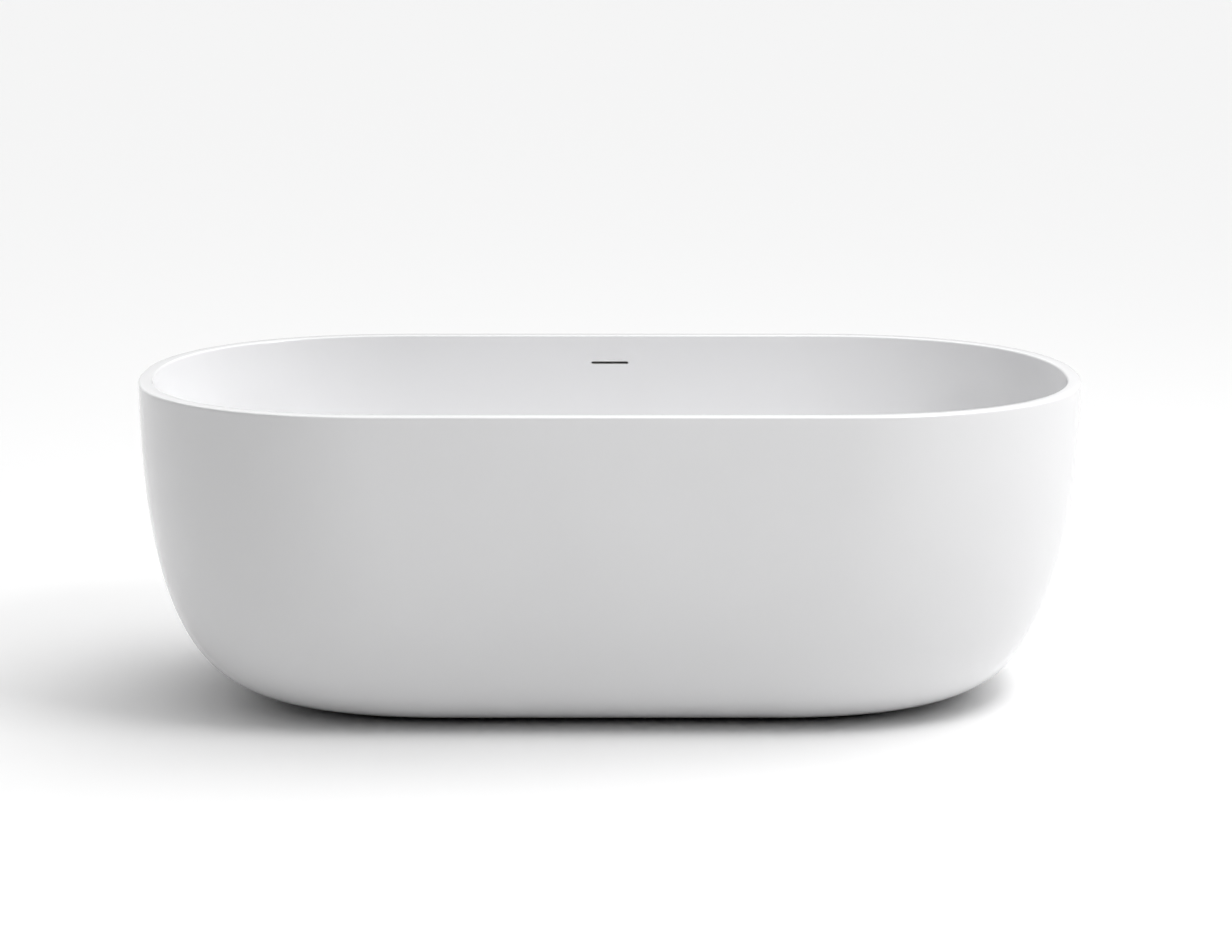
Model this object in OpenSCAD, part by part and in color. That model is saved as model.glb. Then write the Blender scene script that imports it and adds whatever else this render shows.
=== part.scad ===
// Freestanding double-ended bathtub: acrylic basin and skirt on a steel frame.
// Millimetres, +Z up, +X along the tub, the overflow is on the +Y side.
// The origin is on the floor under the middle of the tub.

/* [Overall] */
// Length over the rim
tub_length = 1700; // [1420:10:2040]
// Width over the rim
tub_width = 800; // [670:10:960]
// Height of the rim above the floor
tub_height = 580; // [490:5:690]
// Length of each rounded end of the rim
end_round = 474; // [400:2:560]
// Width of the flat rim
rim_width = 25; // [21:1:30]
// Radius of the rim's edges
rim_edge = 4; // [3.4:0.1:4.8]

/* [Skirt] */
// Gap between the skirt and the floor
floor_gap = 8; // [7:0.5:9.5]
// How far each end tucks in at the foot
end_tuck = 353; // [300:1:400]
// How far each side tucks in at the foot
side_tuck = 146; // [125:1:170]
// Length from the end of the tub to the straight middle of the foot
foot_round = 586.5; // [500:0.5:700]

/* [Walls] */
// Thickness of the acrylic sheet
wall = 4; // [3.4:0.1:4.8]
// Thickness of the glass-fibre laminate on the basin
basin_lam = 4; // [3.4:0.1:4.8]
// Thickness of the glass-fibre laminate on the skirt
skirt_lam = 3; // [2.5:0.1:3.6]

/* [Basin] */
// How far each end of the basin slopes in by the floor
basin_end_rake = 285; // [240:1:340]
// How far each side of the basin slopes in by the floor
basin_side_rake = 145; // [125:1:165]
// Length from the end of the tub to the straight middle of the floor
floor_round = 551; // [470:1:660]
// Fall of the floor towards the waste
floor_fall = 5; // [4:0.5:6]
// Radius of the flat recess round the waste
recess_r = 50; // [45:1:60]
// Depth of the recess
recess_depth = 5; // [4:0.5:6]
// Length of the overflow slot
slot_length = 72; // [60:1:76]
// Height of the overflow slot
slot_height = 5; // [4.2:0.1:6]
// Depth of the overflow slot below the rim
slot_drop = 53; // [44:1:64]

/* [Frame] */
// Side of the square frame tube
tube_w = 30; // [25:1:36]
// Wall of the frame tube
tube_t = 2; // [1.6:0.1:2.4]
// Height of the frame above the floor
frame_clear = 44; // [40:1:53]
// Distance from the end of the tub to a cross tube
cross_inset = 490; // [440:1:540]
// Distance from the side of the tub to a rail
rail_inset = 250; // [210:1:280]
// Length of rail beyond a cross tube
rail_over = 70; // [58:1:84]
// Thickness of the base board
board_t = 18; // [15:1:21]
// Gap between the edge of the basin's floor and the end of the board
board_end_gap = 90; // [75:1:108]
// Gap between the edge of the basin's floor and the side of the board
board_side_gap = 50; // [42:1:60]
// Distance from a cross tube to the next skirt bracket
bracket_step = 130; // [110:1:156]
// Width of a skirt bracket
bracket_w = 30; // [25:1:36]
// Thickness of a skirt bracket
bracket_t = 3; // [2.5:0.1:3.6]
// Height of a skirt bracket's upright
bracket_h = 34; // [28:1:40]
// Diameter of the frame bolts
bolt_d = 8; // [7:1:9]
// Diameter of the bracket bolts
small_bolt_d = 6; // [5:1:7]

/* [Feet] */
// Diameter of the foot pads
pad_d = 50; // [42:1:60]
// Height of the foot pads
pad_h = 12; // [10:0.5:14]
// Diameter of the levelling studs
stud_d = 12; // [10:0.5:14]
// Diameter of the stud's pin in its pad
pin_d = 8; // [6.5:0.5:9.5]
// Radial clearance of the studs and pins
turn_fit = 0.05; // [0.02:0.01:0.1]

/* [Waste] */
// Radius of the waste hole
waste_hole_r = 26; // [24:0.5:28]
// Radial clearance of the waste in its hole
waste_fit = 2.2; // [1.8:0.1:2.6]
// Wall of the waste's threaded tube
waste_wall = 3.3; // [2.8:0.1:3.9]
// Radius of the waste flange
flange_r = 35; // [31:0.5:40]
// Outside radius of the waste outlet
outlet_r = 20; // [17:0.5:21]
// Wall of the waste outlet
outlet_wall = 2.5; // [2.1:0.1:3]
// Radius of the plug cap
plug_r = 32.5; // [30:0.5:38]
// Lift of the waste plug
plug_lift = 9; // [7.5:0.5:10.5]
// Radius of the plug's stem
stem_r = 3; // [2.5:0.1:3.5]

/* [Overflow] */
// Outside radius of the overflow hose
hose_r = 13; // [11:0.5:15.5]
// Wall of the overflow hose
hose_wall = 3; // [2.5:0.1:3.5]
// Width of the box behind the slot
box_w = 84; // [80:1:100]
// Height of the box behind the slot
box_h = 120; // [100:1:144]
// Wall of the box
box_wall = 2; // [1.7:0.1:2.4]

/* [Part to show] */
// One piece, or all of them

/* [Hidden] */
$fn = 48;
fine = 72;
nq = 14;
nv = 12;
nu = 12;
half_l = tub_length / 2;
half_w = tub_width / 2;
edge = rim_edge;
lip = edge + wall;
z_rim = tub_height;
glue_gap = 0.2;

// Heights of the floor build-up, from the frame upwards
z_rail = frame_clear + tube_w;
z_board = z_rail + tube_w;
z_bed = z_board + board_t;
z_recess = z_bed + wall;
z_floor = z_recess + recess_depth;
z_edge = z_floor + floor_fall;
recess_r2 = recess_r + recess_depth + 2;
boss_r = recess_r2 + wall + 3;

// Frame layout
cross_x = half_l - cross_inset;
rail_y = half_w - rail_inset;
nut_w = 1.5 * stud_d;
foot_y = rail_y + tube_w / 2 + nut_w / 2 / cos(30) + 14.6;
rail_l = 2 * (cross_x + rail_over);
cross_l = 2 * (foot_y + pad_d / 2);
board_l = 2 * (half_l - rim_width - basin_end_rake - board_end_gap);
board_w = 2 * (half_w - rim_width - basin_side_rake - board_side_gap);
bracket_x = cross_x - bracket_step;
stud_r = stud_d / 2;

// ---- plan sections and profiles -------------------------------------------

// One quadrant point of a rounded plan with a straight middle of half length s
function corner(k, a, b, s, e) =
    [s + (a - s) * pow(cos(90 * k / nq), 2 / e), b * pow(sin(90 * k / nq), 2 / e)];

// A closed plan at height z, anticlockwise from above
function plan(a, b, s, e, z) = concat(
    [for (k = [0:nq]) let (p = corner(k, a, b, s, e)) [p[0], p[1], z]],
    [for (k = [nq:-1:0]) let (p = corner(k, a, b, s, e)) [-p[0], p[1], z]],
    [for (k = [1:nq]) let (p = corner(k, a, b, s, e)) [-p[0], -p[1], z]],
    [for (k = [nq:-1:1]) let (p = corner(k, a, b, s, e)) [p[0], -p[1], z]]
);

// A circle with the same number of points as a plan
function round_plan(r, z) =
    [for (i = [0:4 * nq + 1]) [r * cos(360 * i / (4 * nq + 2)), r * sin(360 * i / (4 * nq + 2)), z]];

// How far a wall has moved inwards at the share u of its height, from 0 at the top
function inset(u, d, p, q) = d * (1 - pow(max(0, 1 - pow(u, p)), 1 / q));

// The skirt: share u is 0 at the rim and 1 at the bottom edge
reach = 0.998;
u_top = lip / (tub_height - floor_gap);
function skirt_u(i) = u_top + (1 - u_top) * (1 - pow(1 - i / nu, 2.2));
function skirt_end(u) = inset(u * reach, end_tuck, 2.52, 3.64);
function skirt_side(u) = inset(u * reach, side_tuck, 3.86, 1.80);
function skirt_z(u) = z_rim - u * (tub_height - floor_gap);
function skirt_mean(u) = (skirt_end(u) + skirt_side(u)) / 2;
function skirt_slope(i) =
    let (a = skirt_u(max(0, i - 0.5)), b = skirt_u(min(nu, i + 0.5)))
    atan2(skirt_mean(b) - skirt_mean(a), (b - a) * (tub_height - floor_gap));
function skirt_s(u) =
    half_l - max(end_round * (1 - u * u) + foot_round * u * u, skirt_end(u) + 60);
function skirt_e(u) = 2.247 * (1 - u * u) + 2.644 * u * u;
function skirt_ring(i, t) =
    let (u = skirt_u(i), g = i == 0 ? 0 : skirt_slope(i))
    plan(half_l - skirt_end(u) - t * cos(g), half_w - skirt_side(u) - t * cos(g),
         skirt_s(u), skirt_e(u), skirt_z(u) + t * sin(g));

// The basin: share v is 0 at the rim and 1 at the floor
basin_h = z_rim - edge - z_edge;
function basin_v(i) = 1 - pow(1 - i / nv, 2.4);
function basin_end(v) = inset(v, basin_end_rake, 1.5, 2.6);
function basin_side(v) = inset(v, basin_side_rake, 1.3, 2.6);
function basin_mean(v) = (basin_end(v) + basin_side(v)) / 2;
function basin_slope(i) =
    let (a = basin_v(max(0, i - 0.5)), b = basin_v(min(nv, i + 0.5)))
    i == 0 ? 0 : i == nv ? 90 : atan2(basin_mean(b) - basin_mean(a), (b - a) * basin_h);
function basin_s(v) = half_l - end_round * (1 - v * v) - floor_round * v * v;
function basin_ring(i, t) =
    let (v = basin_v(i), g = basin_slope(i))
    plan(half_l - rim_width - basin_end(v) + t * cos(g),
         half_w - rim_width - basin_side(v) + t * cos(g),
         basin_s(v), 2.247, z_rim - edge - v * basin_h - t * sin(g));

// A ring of the rim, d in from its outer edge
function rim_ring(d, z) = plan(half_l - d, half_w - d, half_l - end_round, 2.247, z);

// The Y of a side wall of the skirt (offset t inwards) or basin (offset t outwards)
// at height z, read off the same rings that the walls are made of
function skirt_pt(i, t) =
    let (u = skirt_u(i), g = i == 0 ? 0 : skirt_slope(i))
    [half_w - skirt_side(u) - t * cos(g), skirt_z(u) + t * sin(g)];
function basin_pt(i, t) =
    let (v = basin_v(i), g = basin_slope(i))
    [half_w - rim_width - basin_side(v) + t * cos(g), z_rim - edge - v * basin_h - t * sin(g)];
function along(a, b, z) = a[0] + (b[0] - a[0]) * (z - a[1]) / (b[1] - a[1]);
function skirt_y(z, t, i = 0) =
    i >= nu || z >= skirt_pt(i + 1, t)[1] ? along(skirt_pt(i, t), skirt_pt(i + 1, t), z)
    : skirt_y(z, t, i + 1);
function basin_y(z, t, i = 0) =
    i >= nv || z >= basin_pt(i + 1, t)[1] ? along(basin_pt(i, t), basin_pt(i + 1, t), z)
    : basin_y(z, t, i + 1);

// Joins rings of points into a closed solid: capped at both ends, or ring-shaped
module loft(rings, ring_shaped = false) {
    n = len(rings[0]);
    m = len(rings);
    last = ring_shaped ? m - 1 : m - 2;
    sides = [for (i = [0:last], j = [0:n - 1])
        let (k = (i + 1) % m, l = (j + 1) % n)
        let (a = i * n + j, b = i * n + l, c = k * n + l, d = k * n + j)
        each rings[k][0][2] >= rings[i][0][2] ? [[a, d, c], [a, c, b]] : [[a, d, b], [d, c, b]]];
    caps = ring_shaped ? [] : [[for (j = [0:n - 1]) j], [for (j = [n - 1:-1:0]) (m - 1) * n + j]];
    polyhedron(points = [for (r = rings) each r], faces = concat(sides, caps), convexity = 8);
}

// ---- small shapes -----------------------------------------------------------

module round_rect(l, w, r) {
    square([l - 2 * r, w], center = true);
    square([l, w - 2 * r], center = true);
    for (x = [-1, 1], y = [-1, 1])
        translate([x * (l / 2 - r), y * (w / 2 - r)])
            circle(r);
}

module tube_section() {
    difference() {
        round_rect(tube_w, tube_w, 3);
        round_rect(tube_w - 2 * tube_t, tube_w - 2 * tube_t, 1);
    }
}

module disc(r, z1, z2) {
    translate([0, 0, z1])
        cylinder(r = r, h = z2 - z1, $fn = fine);
}

module ring(r1, r2, z1, z2) {
    difference() {
        disc(r2, z1, z2);
        disc(r1, z1 - 1, z2 + 1);
    }
}

module hex_nut(across, h, r) {
    difference() {
        cylinder(r = across / 2 / cos(30), h = h, $fn = 6);
        translate([0, 0, -1])
            cylinder(r = r, h = h + 2);
    }
}

// A hex bolt pointing up: its head is below z = 0
module hex_bolt(d, across, head, l) {
    translate([0, 0, -head])
        cylinder(r = across / 2 / cos(30), h = head, $fn = 6);
    cylinder(r = d / 2, h = l);
}

module at_cross() {
    for (x = [-cross_x, cross_x], y = [-rail_y, rail_y])
        translate([x, y, 0])
            children();
}

module at_feet() {
    for (x = [-cross_x, cross_x], y = [-foot_y, foot_y])
        translate([x, y, 0])
            children();
}

// Each bracket is drawn on the +Y side and turned round for the -Y side
module at_brackets() {
    for (x = [-bracket_x, bracket_x], turn = [0, 180])
        rotate([0, 0, turn])
            translate([x, 0, 0])
                children();
}

// Extrudes a profile in Y and Z along X, centred
module along_x(l) {
    rotate([90, 0, 90])
        translate([0, 0, -l / 2])
            linear_extrude(l)
                children();
}

// ---- shells -----------------------------------------------------------------

slot_z = z_rim - slot_drop;

module basin_shell() {
    color([0.96, 0.96, 0.95])
    difference() {
        loft(concat(
            [round_plan(recess_r + wall, z_bed), round_plan(recess_r2 + wall, z_floor - wall)],
            [for (i = [nv:-1:0]) basin_ring(i, wall)],
            [rim_ring(wall, z_rim - edge), rim_ring(wall, z_rim - lip), rim_ring(0, z_rim - lip)],
            [rim_ring(0, z_rim - edge), rim_ring(0.3 * edge, z_rim - 0.3 * edge)],
            [rim_ring(edge, z_rim), rim_ring(rim_width - edge, z_rim)],
            [rim_ring(rim_width - 0.3 * edge, z_rim - 0.3 * edge)],
            [for (i = [0:nv]) basin_ring(i, 0)],
            [round_plan(recess_r2, z_floor), round_plan(recess_r, z_recess)]
        ));
        disc(waste_hole_r, z_bed - 5, z_recess + 5);
        slot_cut();
    }
}

module slot_cut() {
    y = half_w - rim_width - 25;
    translate([-slot_length / 2 + slot_height / 2, y, slot_z - slot_height / 2])
        cube([slot_length - slot_height, 35, slot_height]);
    for (x = [-1, 1])
        translate([x * (slot_length - slot_height) / 2, y, slot_z])
            rotate([-90, 0, 0])
                cylinder(r = slot_height / 2, h = 35);
}

box_top = slot_z + 18;
box_bottom = box_top - box_h;
box_half = box_w / 2;
window_gap = 3;

module basin_laminate() {
    t = wall + basin_lam;
    color([0.78, 0.76, 0.66])
    difference() {
        loft(concat(
            [round_plan(recess_r + wall + 4, z_bed - basin_lam), round_plan(boss_r, z_bed)],
            [plan(half_l - rim_width - basin_end(1) - 25, half_w - rim_width - basin_side(1) - 18,
                  basin_s(1) - 15, 2.247, z_bed)],
            [for (i = [nv:-1:0]) basin_ring(i, t)],
            [for (i = [0:nv]) basin_ring(i, wall)],
            [round_plan(recess_r2 + wall, z_floor - wall), round_plan(recess_r + wall, z_bed)]
        ));
        disc(waste_hole_r, z_bed - 10, z_bed + 5);
        translate([-box_half - window_gap, half_w - 70, hose_drop])
            cube([box_w + 2 * window_gap, 70, box_top + window_gap - hose_drop]);
    }
}

module outer_skirt() {
    color([0.96, 0.96, 0.95])
        loft(concat(
            [for (i = [nu:-1:0]) skirt_ring(i, 0)],
            [for (i = [0:nu]) skirt_ring(i, wall)]
        ), true);
}

module skirt_laminate() {
    color([0.78, 0.76, 0.66])
        loft(concat(
            [for (i = [nu:-1:0]) skirt_ring(i, wall)],
            [for (i = [0:nu]) skirt_ring(i, wall + skirt_lam)]
        ), true);
}

// The adhesive filling between the rim, the skirt and the basin
module rim_bond() {
    low = z_rim - 18;
    in_d = rim_width - wall - basin_lam - glue_gap;
    out_d = wall + skirt_lam + glue_gap;
    color([0.85, 0.83, 0.76])
        loft([
            rim_ring(out_d, low), rim_ring(out_d, z_rim - lip),
            rim_ring(wall, z_rim - lip), rim_ring(wall, z_rim - edge),
            rim_ring(in_d, z_rim - edge), rim_ring(in_d, low)
        ], true);
}

// ---- base board and frame ---------------------------------------------------

screw_x = board_l / 2 - 170;
screw_r = 2.2;
board_screw_x = [-screw_x, 0, screw_x];

module board_screw_places() {
    for (x = board_screw_x, y = [-rail_y, rail_y])
        translate([x, y, 0])
            children();
}

module base_board() {
    color([0.72, 0.55, 0.35])
    difference() {
        translate([0, 0, z_board])
            linear_extrude(board_t)
                round_rect(board_l, board_w, 90);
        disc(boss_r + 4, z_board - 1, z_bed + 1);
        board_screw_places()
            translate([0, 0, z_board - 1])
                cylinder(r = screw_r, h = board_t - 3);
    }
}

module board_screws() {
    color([0.75, 0.74, 0.7])
        board_screw_places() {
            translate([0, 0, z_board - tube_t - 3])
                cylinder(r1 = 4.4, r2 = 5, h = 3);
            translate([0, 0, z_board - tube_t - 0.01])
                cylinder(r = screw_r, h = board_t - 4 + tube_t + 0.01);
        }
}

bolt_gap = 0.3;

module rail(y) {
    color([0.66, 0.68, 0.7])
    difference() {
        translate([0, y, z_rail + tube_w / 2])
            along_x(rail_l)
                tube_section();
        at_cross()
            translate([0, 0, z_rail - 1])
                cylinder(r = bolt_d / 2 + bolt_gap, h = tube_t + 3);
        board_screw_places() {
            translate([0, 0, z_board - tube_t - 2])
                cylinder(r = screw_r, h = tube_t + 4);
            translate([0, 0, z_rail - 1])
                cylinder(r = 6, h = tube_t + 3);
        }
        at_brackets()
            translate([0, rail_y, z_rail - 1])
                cylinder(r = small_bolt_d / 2 + bolt_gap, h = tube_t + 3);
    }
}

module rail_front() {
    rail(-rail_y);
}

module rail_rear() {
    rail(rail_y);
}

module cross(x) {
    color([0.66, 0.68, 0.7])
    difference() {
        translate([x, 0, frame_clear + tube_w / 2])
            rotate([0, 0, 90])
                along_x(cross_l)
                    tube_section();
        at_cross()
            translate([0, 0, frame_clear - 1])
                cylinder(r = bolt_d / 2 + bolt_gap, h = tube_w + 2);
        at_feet()
            translate([0, 0, frame_clear - 1])
                cylinder(r = stud_r + 0.8, h = tube_w + 2);
    }
}

module cross_left() {
    cross(-cross_x);
}

module cross_right() {
    cross(cross_x);
}

module end_cap() {
    linear_extrude(3)
        round_rect(tube_w, tube_w, 3);
    translate([0, 0, -10])
        linear_extrude(10)
            round_rect(tube_w - 2 * tube_t - 0.2, tube_w - 2 * tube_t - 0.2, 1);
}

module tube_caps() {
    color([0.12, 0.12, 0.13]) {
        for (y = [-rail_y, rail_y], side = [0, 180])
            translate([0, y, z_rail + tube_w / 2])
                rotate([0, 0, side])
                    translate([rail_l / 2, 0, 0])
                        rotate([0, 90, 0])
                            end_cap();
        for (x = [-cross_x, cross_x], side = [90, 270])
            translate([x, 0, frame_clear + tube_w / 2])
                rotate([0, 0, side])
                    translate([cross_l / 2, 0, 0])
                        rotate([0, 90, 0])
                            end_cap();
    }
}

module frame_bolts() {
    color([0.75, 0.74, 0.7])
        at_cross()
            translate([0, 0, frame_clear])
                hex_bolt(bolt_d, 1.625 * bolt_d, 0.66 * bolt_d, tube_w + tube_t + 10);
}

module frame_nuts() {
    color([0.75, 0.74, 0.7])
        at_cross()
            translate([0, 0, z_rail + tube_t])
                hex_nut(1.625 * bolt_d, 0.8 * bolt_d, bolt_d / 2);
}

// Angle brackets that hold the lower edge of the skirt to the rails
bracket_y = skirt_y(z_rail - 2, wall + skirt_lam) - 12;

module skirt_brackets() {
    color([0.66, 0.68, 0.7])
        at_brackets()
            difference() {
                union() {
                    translate([-bracket_w / 2, rail_y - tube_w / 2, z_rail - bracket_t])
                        cube([bracket_w, bracket_y - rail_y + tube_w / 2, bracket_t]);
                    translate([-bracket_w / 2, bracket_y - bracket_t, z_rail - bracket_t])
                        cube([bracket_w, bracket_t, bracket_h]);
                }
                translate([0, rail_y, z_rail - bracket_t - 1])
                    cylinder(r = small_bolt_d / 2 + bolt_gap, h = bracket_t + 2);
            }
}

module bracket_bolts() {
    color([0.75, 0.74, 0.7])
        at_brackets()
            translate([0, rail_y, z_rail - bracket_t])
                hex_bolt(small_bolt_d, 1.67 * small_bolt_d, 0.67 * small_bolt_d, bracket_t + tube_t + 10);
}

module bracket_nuts() {
    color([0.75, 0.74, 0.7])
        at_brackets()
            translate([0, rail_y, z_rail + tube_t])
                hex_nut(1.67 * small_bolt_d, 0.83 * small_bolt_d, small_bolt_d / 2);
}

// Adhesive between each bracket and the inside of the skirt
module bond_pads() {
    t = wall + skirt_lam;
    low = z_rail + 2;
    high = z_rail + bracket_h - bracket_t - 5;
    inner = [for (i = [nu:-1:0]) let (p = skirt_pt(i, t)) if (p[1] > low && p[1] < high) p];
    color([0.85, 0.83, 0.76])
        at_brackets()
            along_x(bracket_w)
                polygon(concat(
                    [[bracket_y, low], [skirt_y(low, t), low]],
                    inner,
                    [[skirt_y(high, t), high], [bracket_y, high]]
                ));
}

// ---- feet -------------------------------------------------------------------

weld_nut_h = 10;
lock_nut_h = 7;
hex_h = 6;

module weld_nuts() {
    color([0.66, 0.68, 0.7])
        at_feet()
            translate([0, 0, frame_clear + tube_w])
                hex_nut(nut_w, weld_nut_h, stud_r);
}

module lock_nuts() {
    color([0.75, 0.74, 0.7])
        at_feet()
            translate([0, 0, frame_clear - lock_nut_h])
                hex_nut(nut_w, lock_nut_h, stud_r);
}

module foot_pad(x, y) {
    color([0.15, 0.15, 0.16])
        translate([x, y, 0])
            difference() {
                union() {
                    cylinder(r = pad_d / 2, h = 4, $fn = fine);
                    translate([0, 0, 4])
                        cylinder(r1 = pad_d / 2 - 1, r2 = pin_d / 2 + 7, h = pad_h - 6, $fn = fine);
                    cylinder(r = pin_d / 2 + 7, h = pad_h, $fn = fine);
                }
                translate([0, 0, 5])
                    cylinder(r = pin_d / 2 + turn_fit, h = pad_h);
            }
}

// A threaded stud: its lower pin turns in the pad, above it is the spanner hexagon
module foot_stud(x, y) {
    color([0.75, 0.74, 0.7])
        translate([x, y, 0]) {
            translate([0, 0, 5.2])
                cylinder(r = pin_d / 2, h = pad_h);
            translate([0, 0, pad_h + 0.2])
                cylinder(r = stud_r + 2.1, h = hex_h, $fn = 6);
            translate([0, 0, pad_h + hex_h / 2])
                cylinder(r = stud_r - turn_fit, h = z_board - pad_h - hex_h / 2 - 6);
        }
}

module pad_front_left() {
    foot_pad(-cross_x, -foot_y);
}

module pad_front_right() {
    foot_pad(cross_x, -foot_y);
}

module pad_rear_left() {
    foot_pad(-cross_x, foot_y);
}

module pad_rear_right() {
    foot_pad(cross_x, foot_y);
}

module stud_front_left() {
    foot_stud(-cross_x, -foot_y);
}

module stud_front_right() {
    foot_stud(cross_x, -foot_y);
}

module stud_rear_left() {
    foot_stud(-cross_x, foot_y);
}

module stud_rear_right() {
    foot_stud(cross_x, foot_y);
}

// ---- waste ------------------------------------------------------------------

gasket_t = 1;
flange_t = 2;
under_gasket_t = 3;
shoe_flange_t = 5;
tube_gap = 0.3;
z_flange = z_recess + gasket_t;
z_seat = z_flange + flange_t;
tube_r = waste_hole_r - waste_fit;
bore_r = tube_r - waste_wall;
z_tube = z_seat - 45;
z_hub = z_seat - 26;
hub_h = 6;
guide_r = 7;
z_lam = z_bed - basin_lam;
z_shoe_top = z_lam - under_gasket_t;
z_branch = z_rail - hose_r - 4;
z_shoe = z_branch - hose_r;

module flange_gasket() {
    color([0.1, 0.1, 0.1])
        ring(tube_r + tube_gap, flange_r - 1.5, z_recess, z_flange);
}

// The chromed flange with its threaded tube and the cross that holds the plug
module waste_flange() {
    color([0.88, 0.89, 0.9]) {
        difference() {
            union() {
                disc(flange_r, z_flange, z_seat - 0.8);
                translate([0, 0, z_seat - 0.8])
                    cylinder(r1 = flange_r, r2 = flange_r - 0.8, h = 0.8, $fn = fine);
                disc(tube_r, z_tube, z_flange);
            }
            disc(bore_r, z_tube - 1, z_seat + 1);
            translate([0, 0, z_seat - 4])
                cylinder(r1 = bore_r, r2 = bore_r + 3.5, h = 4.01, $fn = fine);
        }
        difference() {
            intersection() {
                for (a = [45, 135])
                    rotate([0, 0, a])
                        translate([-bore_r - 1, -2, z_hub])
                            cube([2 * bore_r + 2, 4, hub_h]);
                disc(bore_r + 0.5, z_hub - 1, z_hub + hub_h + 1);
            }
            disc(guide_r, z_hub - 2, z_hub + hub_h + 2);
        }
        ring(guide_r, guide_r + 2.5, z_hub, z_hub + hub_h);
    }
}

module waste_gasket() {
    color([0.1, 0.1, 0.1])
        ring(tube_r + tube_gap, flange_r, z_shoe_top, z_lam);
}

// The waste body under the tub, with the spigot for the overflow hose
shoe_r = tube_r + 3.7;
spigot_r = outlet_r + 4;
collar_r = spigot_r - 1;
hose_in = hose_r - hose_wall;
branch_end = shoe_r + 10.5;

module waste_body() {
    top = z_shoe_top;
    color([0.9, 0.9, 0.9])
    difference() {
        union() {
            disc(flange_r, top - shoe_flange_t, top);
            disc(shoe_r, z_shoe, top);
            disc(spigot_r, z_shoe - 10, z_shoe + 1);
            translate([0, 20, z_branch])
                rotate([-90, 0, 0]) {
                    cylinder(r = hose_r, h = shoe_r - 13.5);
                    cylinder(r = hose_in, h = branch_end + 24 - 20);
                }
        }
        disc(tube_r, z_tube, top + 1);
        disc(bore_r - 1.5, z_shoe - 11, z_tube + 1);
        translate([0, 10, z_branch])
            rotate([-90, 0, 0])
                cylinder(r = hose_in - 2.5, h = branch_end + 30);
    }
}

module tail_washer() {
    color([0.1, 0.1, 0.1])
        ring(outlet_r - outlet_wall, collar_r, z_shoe - 12, z_shoe - 10);
}

module tailpiece() {
    color([0.9, 0.9, 0.9])
    difference() {
        union() {
            disc(collar_r, z_shoe - 15, z_shoe - 12);
            disc(outlet_r - 0.5, z_shoe - 20, z_shoe - 14);
            disc(outlet_r, 6, z_shoe - 20);
        }
        disc(outlet_r - outlet_wall, 5, z_shoe);
    }
}

module tail_nut() {
    color([0.9, 0.9, 0.9])
    difference() {
        union() {
            disc(spigot_r + 4, z_shoe - 19, z_shoe - 2);
            for (a = [0:30:330])
                rotate([0, 0, a])
                    translate([spigot_r + 2, -1.5, z_shoe - 18])
                        cube([4, 3, 15]);
        }
        disc(spigot_r, z_shoe - 15, z_shoe);
        disc(outlet_r + 0.5, z_shoe - 20, z_shoe);
    }
}

// The click plug: guide, spring, stem, cap and seal
spring_l = 10;
collar_t = 2;
seal_t = 1.5;
guide_floor = z_hub + hub_h - spring_l - collar_t - plug_lift - 2;
stem_collar = guide_floor + spring_l;
guide_in = stem_r + 2.2;
stem_top = z_seat + seal_t + 2.5;

module plug_guide() {
    color([0.85, 0.72, 0.35])
    difference() {
        union() {
            disc(guide_r, guide_floor - 2, z_hub + hub_h + 2);
            disc(guide_r + 1.5, z_hub + hub_h, z_hub + hub_h + 3);
        }
        disc(guide_in, guide_floor, z_hub + hub_h);
        disc(stem_r + turn_fit, guide_floor, z_hub + hub_h + 4);
    }
}

module plug_spring() {
    color([0.6, 0.6, 0.62])
        ring(guide_in - 2, guide_in - 0.4, guide_floor, stem_collar);
}

module plug_stem() {
    color([0.85, 0.72, 0.35]) {
        disc(stem_r - 0.8, guide_floor + 3, stem_collar + 1);
        disc(guide_in - 0.2, stem_collar, stem_collar + collar_t);
        disc(stem_r, stem_collar + 1, stem_top);
    }
}

module plug_seal() {
    color([0.1, 0.1, 0.1])
        ring(8, plug_r - 3.5, z_seat, z_seat + seal_t);
}

module plug_cap() {
    z = z_seat + seal_t;
    r = plug_r - 1.5;
    dome = [for (i = [0:8]) let (k = 1 - i / 8) [r * k, z + 3.2 + 2.6 * (1 - k * k)]];
    color([0.9, 0.91, 0.92])
    difference() {
        rotate_extrude($fn = fine)
            polygon(concat(
                [[0, z - 5], [7, z - 5], [7, z], [plug_r, z], [plug_r, z + 2.2]], dome
            ));
        disc(stem_r, z - 6, stem_top);
    }
}

// ---- overflow ---------------------------------------------------------------

hose_fit = 0.25;
clamp_t = 1.2;
clamp_h = 9;

// The hose is clamped as high as the space between basin and skirt takes its clamp
function clamp_room(z) = skirt_y(z, wall + skirt_lam) - basin_y(z, wall) - 2 * (hose_r + clamp_t);
function clamp_fit(z) = clamp_room(z) >= 1.6 || z < z_bed ? z : clamp_fit(z - 1);
clamp_top = clamp_fit(box_bottom - 8);
spigot_y = (skirt_y(clamp_top, wall + skirt_lam) + basin_y(clamp_top, wall)) / 2;
spigot_l = box_bottom - clamp_top + clamp_h + 7;
hose_drop = clamp_top - clamp_h - 9;

// The space that the basin takes up beside the box's spigot
module basin_side(low, high) {
    along_x(2 * hose_in + 2)
        polygon(concat(
            [[half_w - rim_width - 100, high], [basin_y(high, wall), high]],
            [for (i = [0:nv]) let (p = basin_pt(i, wall)) if (p[1] < high && p[1] > low) p],
            [[basin_y(low, wall), low], [half_w - rim_width - 100, low]]
        ));
}

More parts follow.
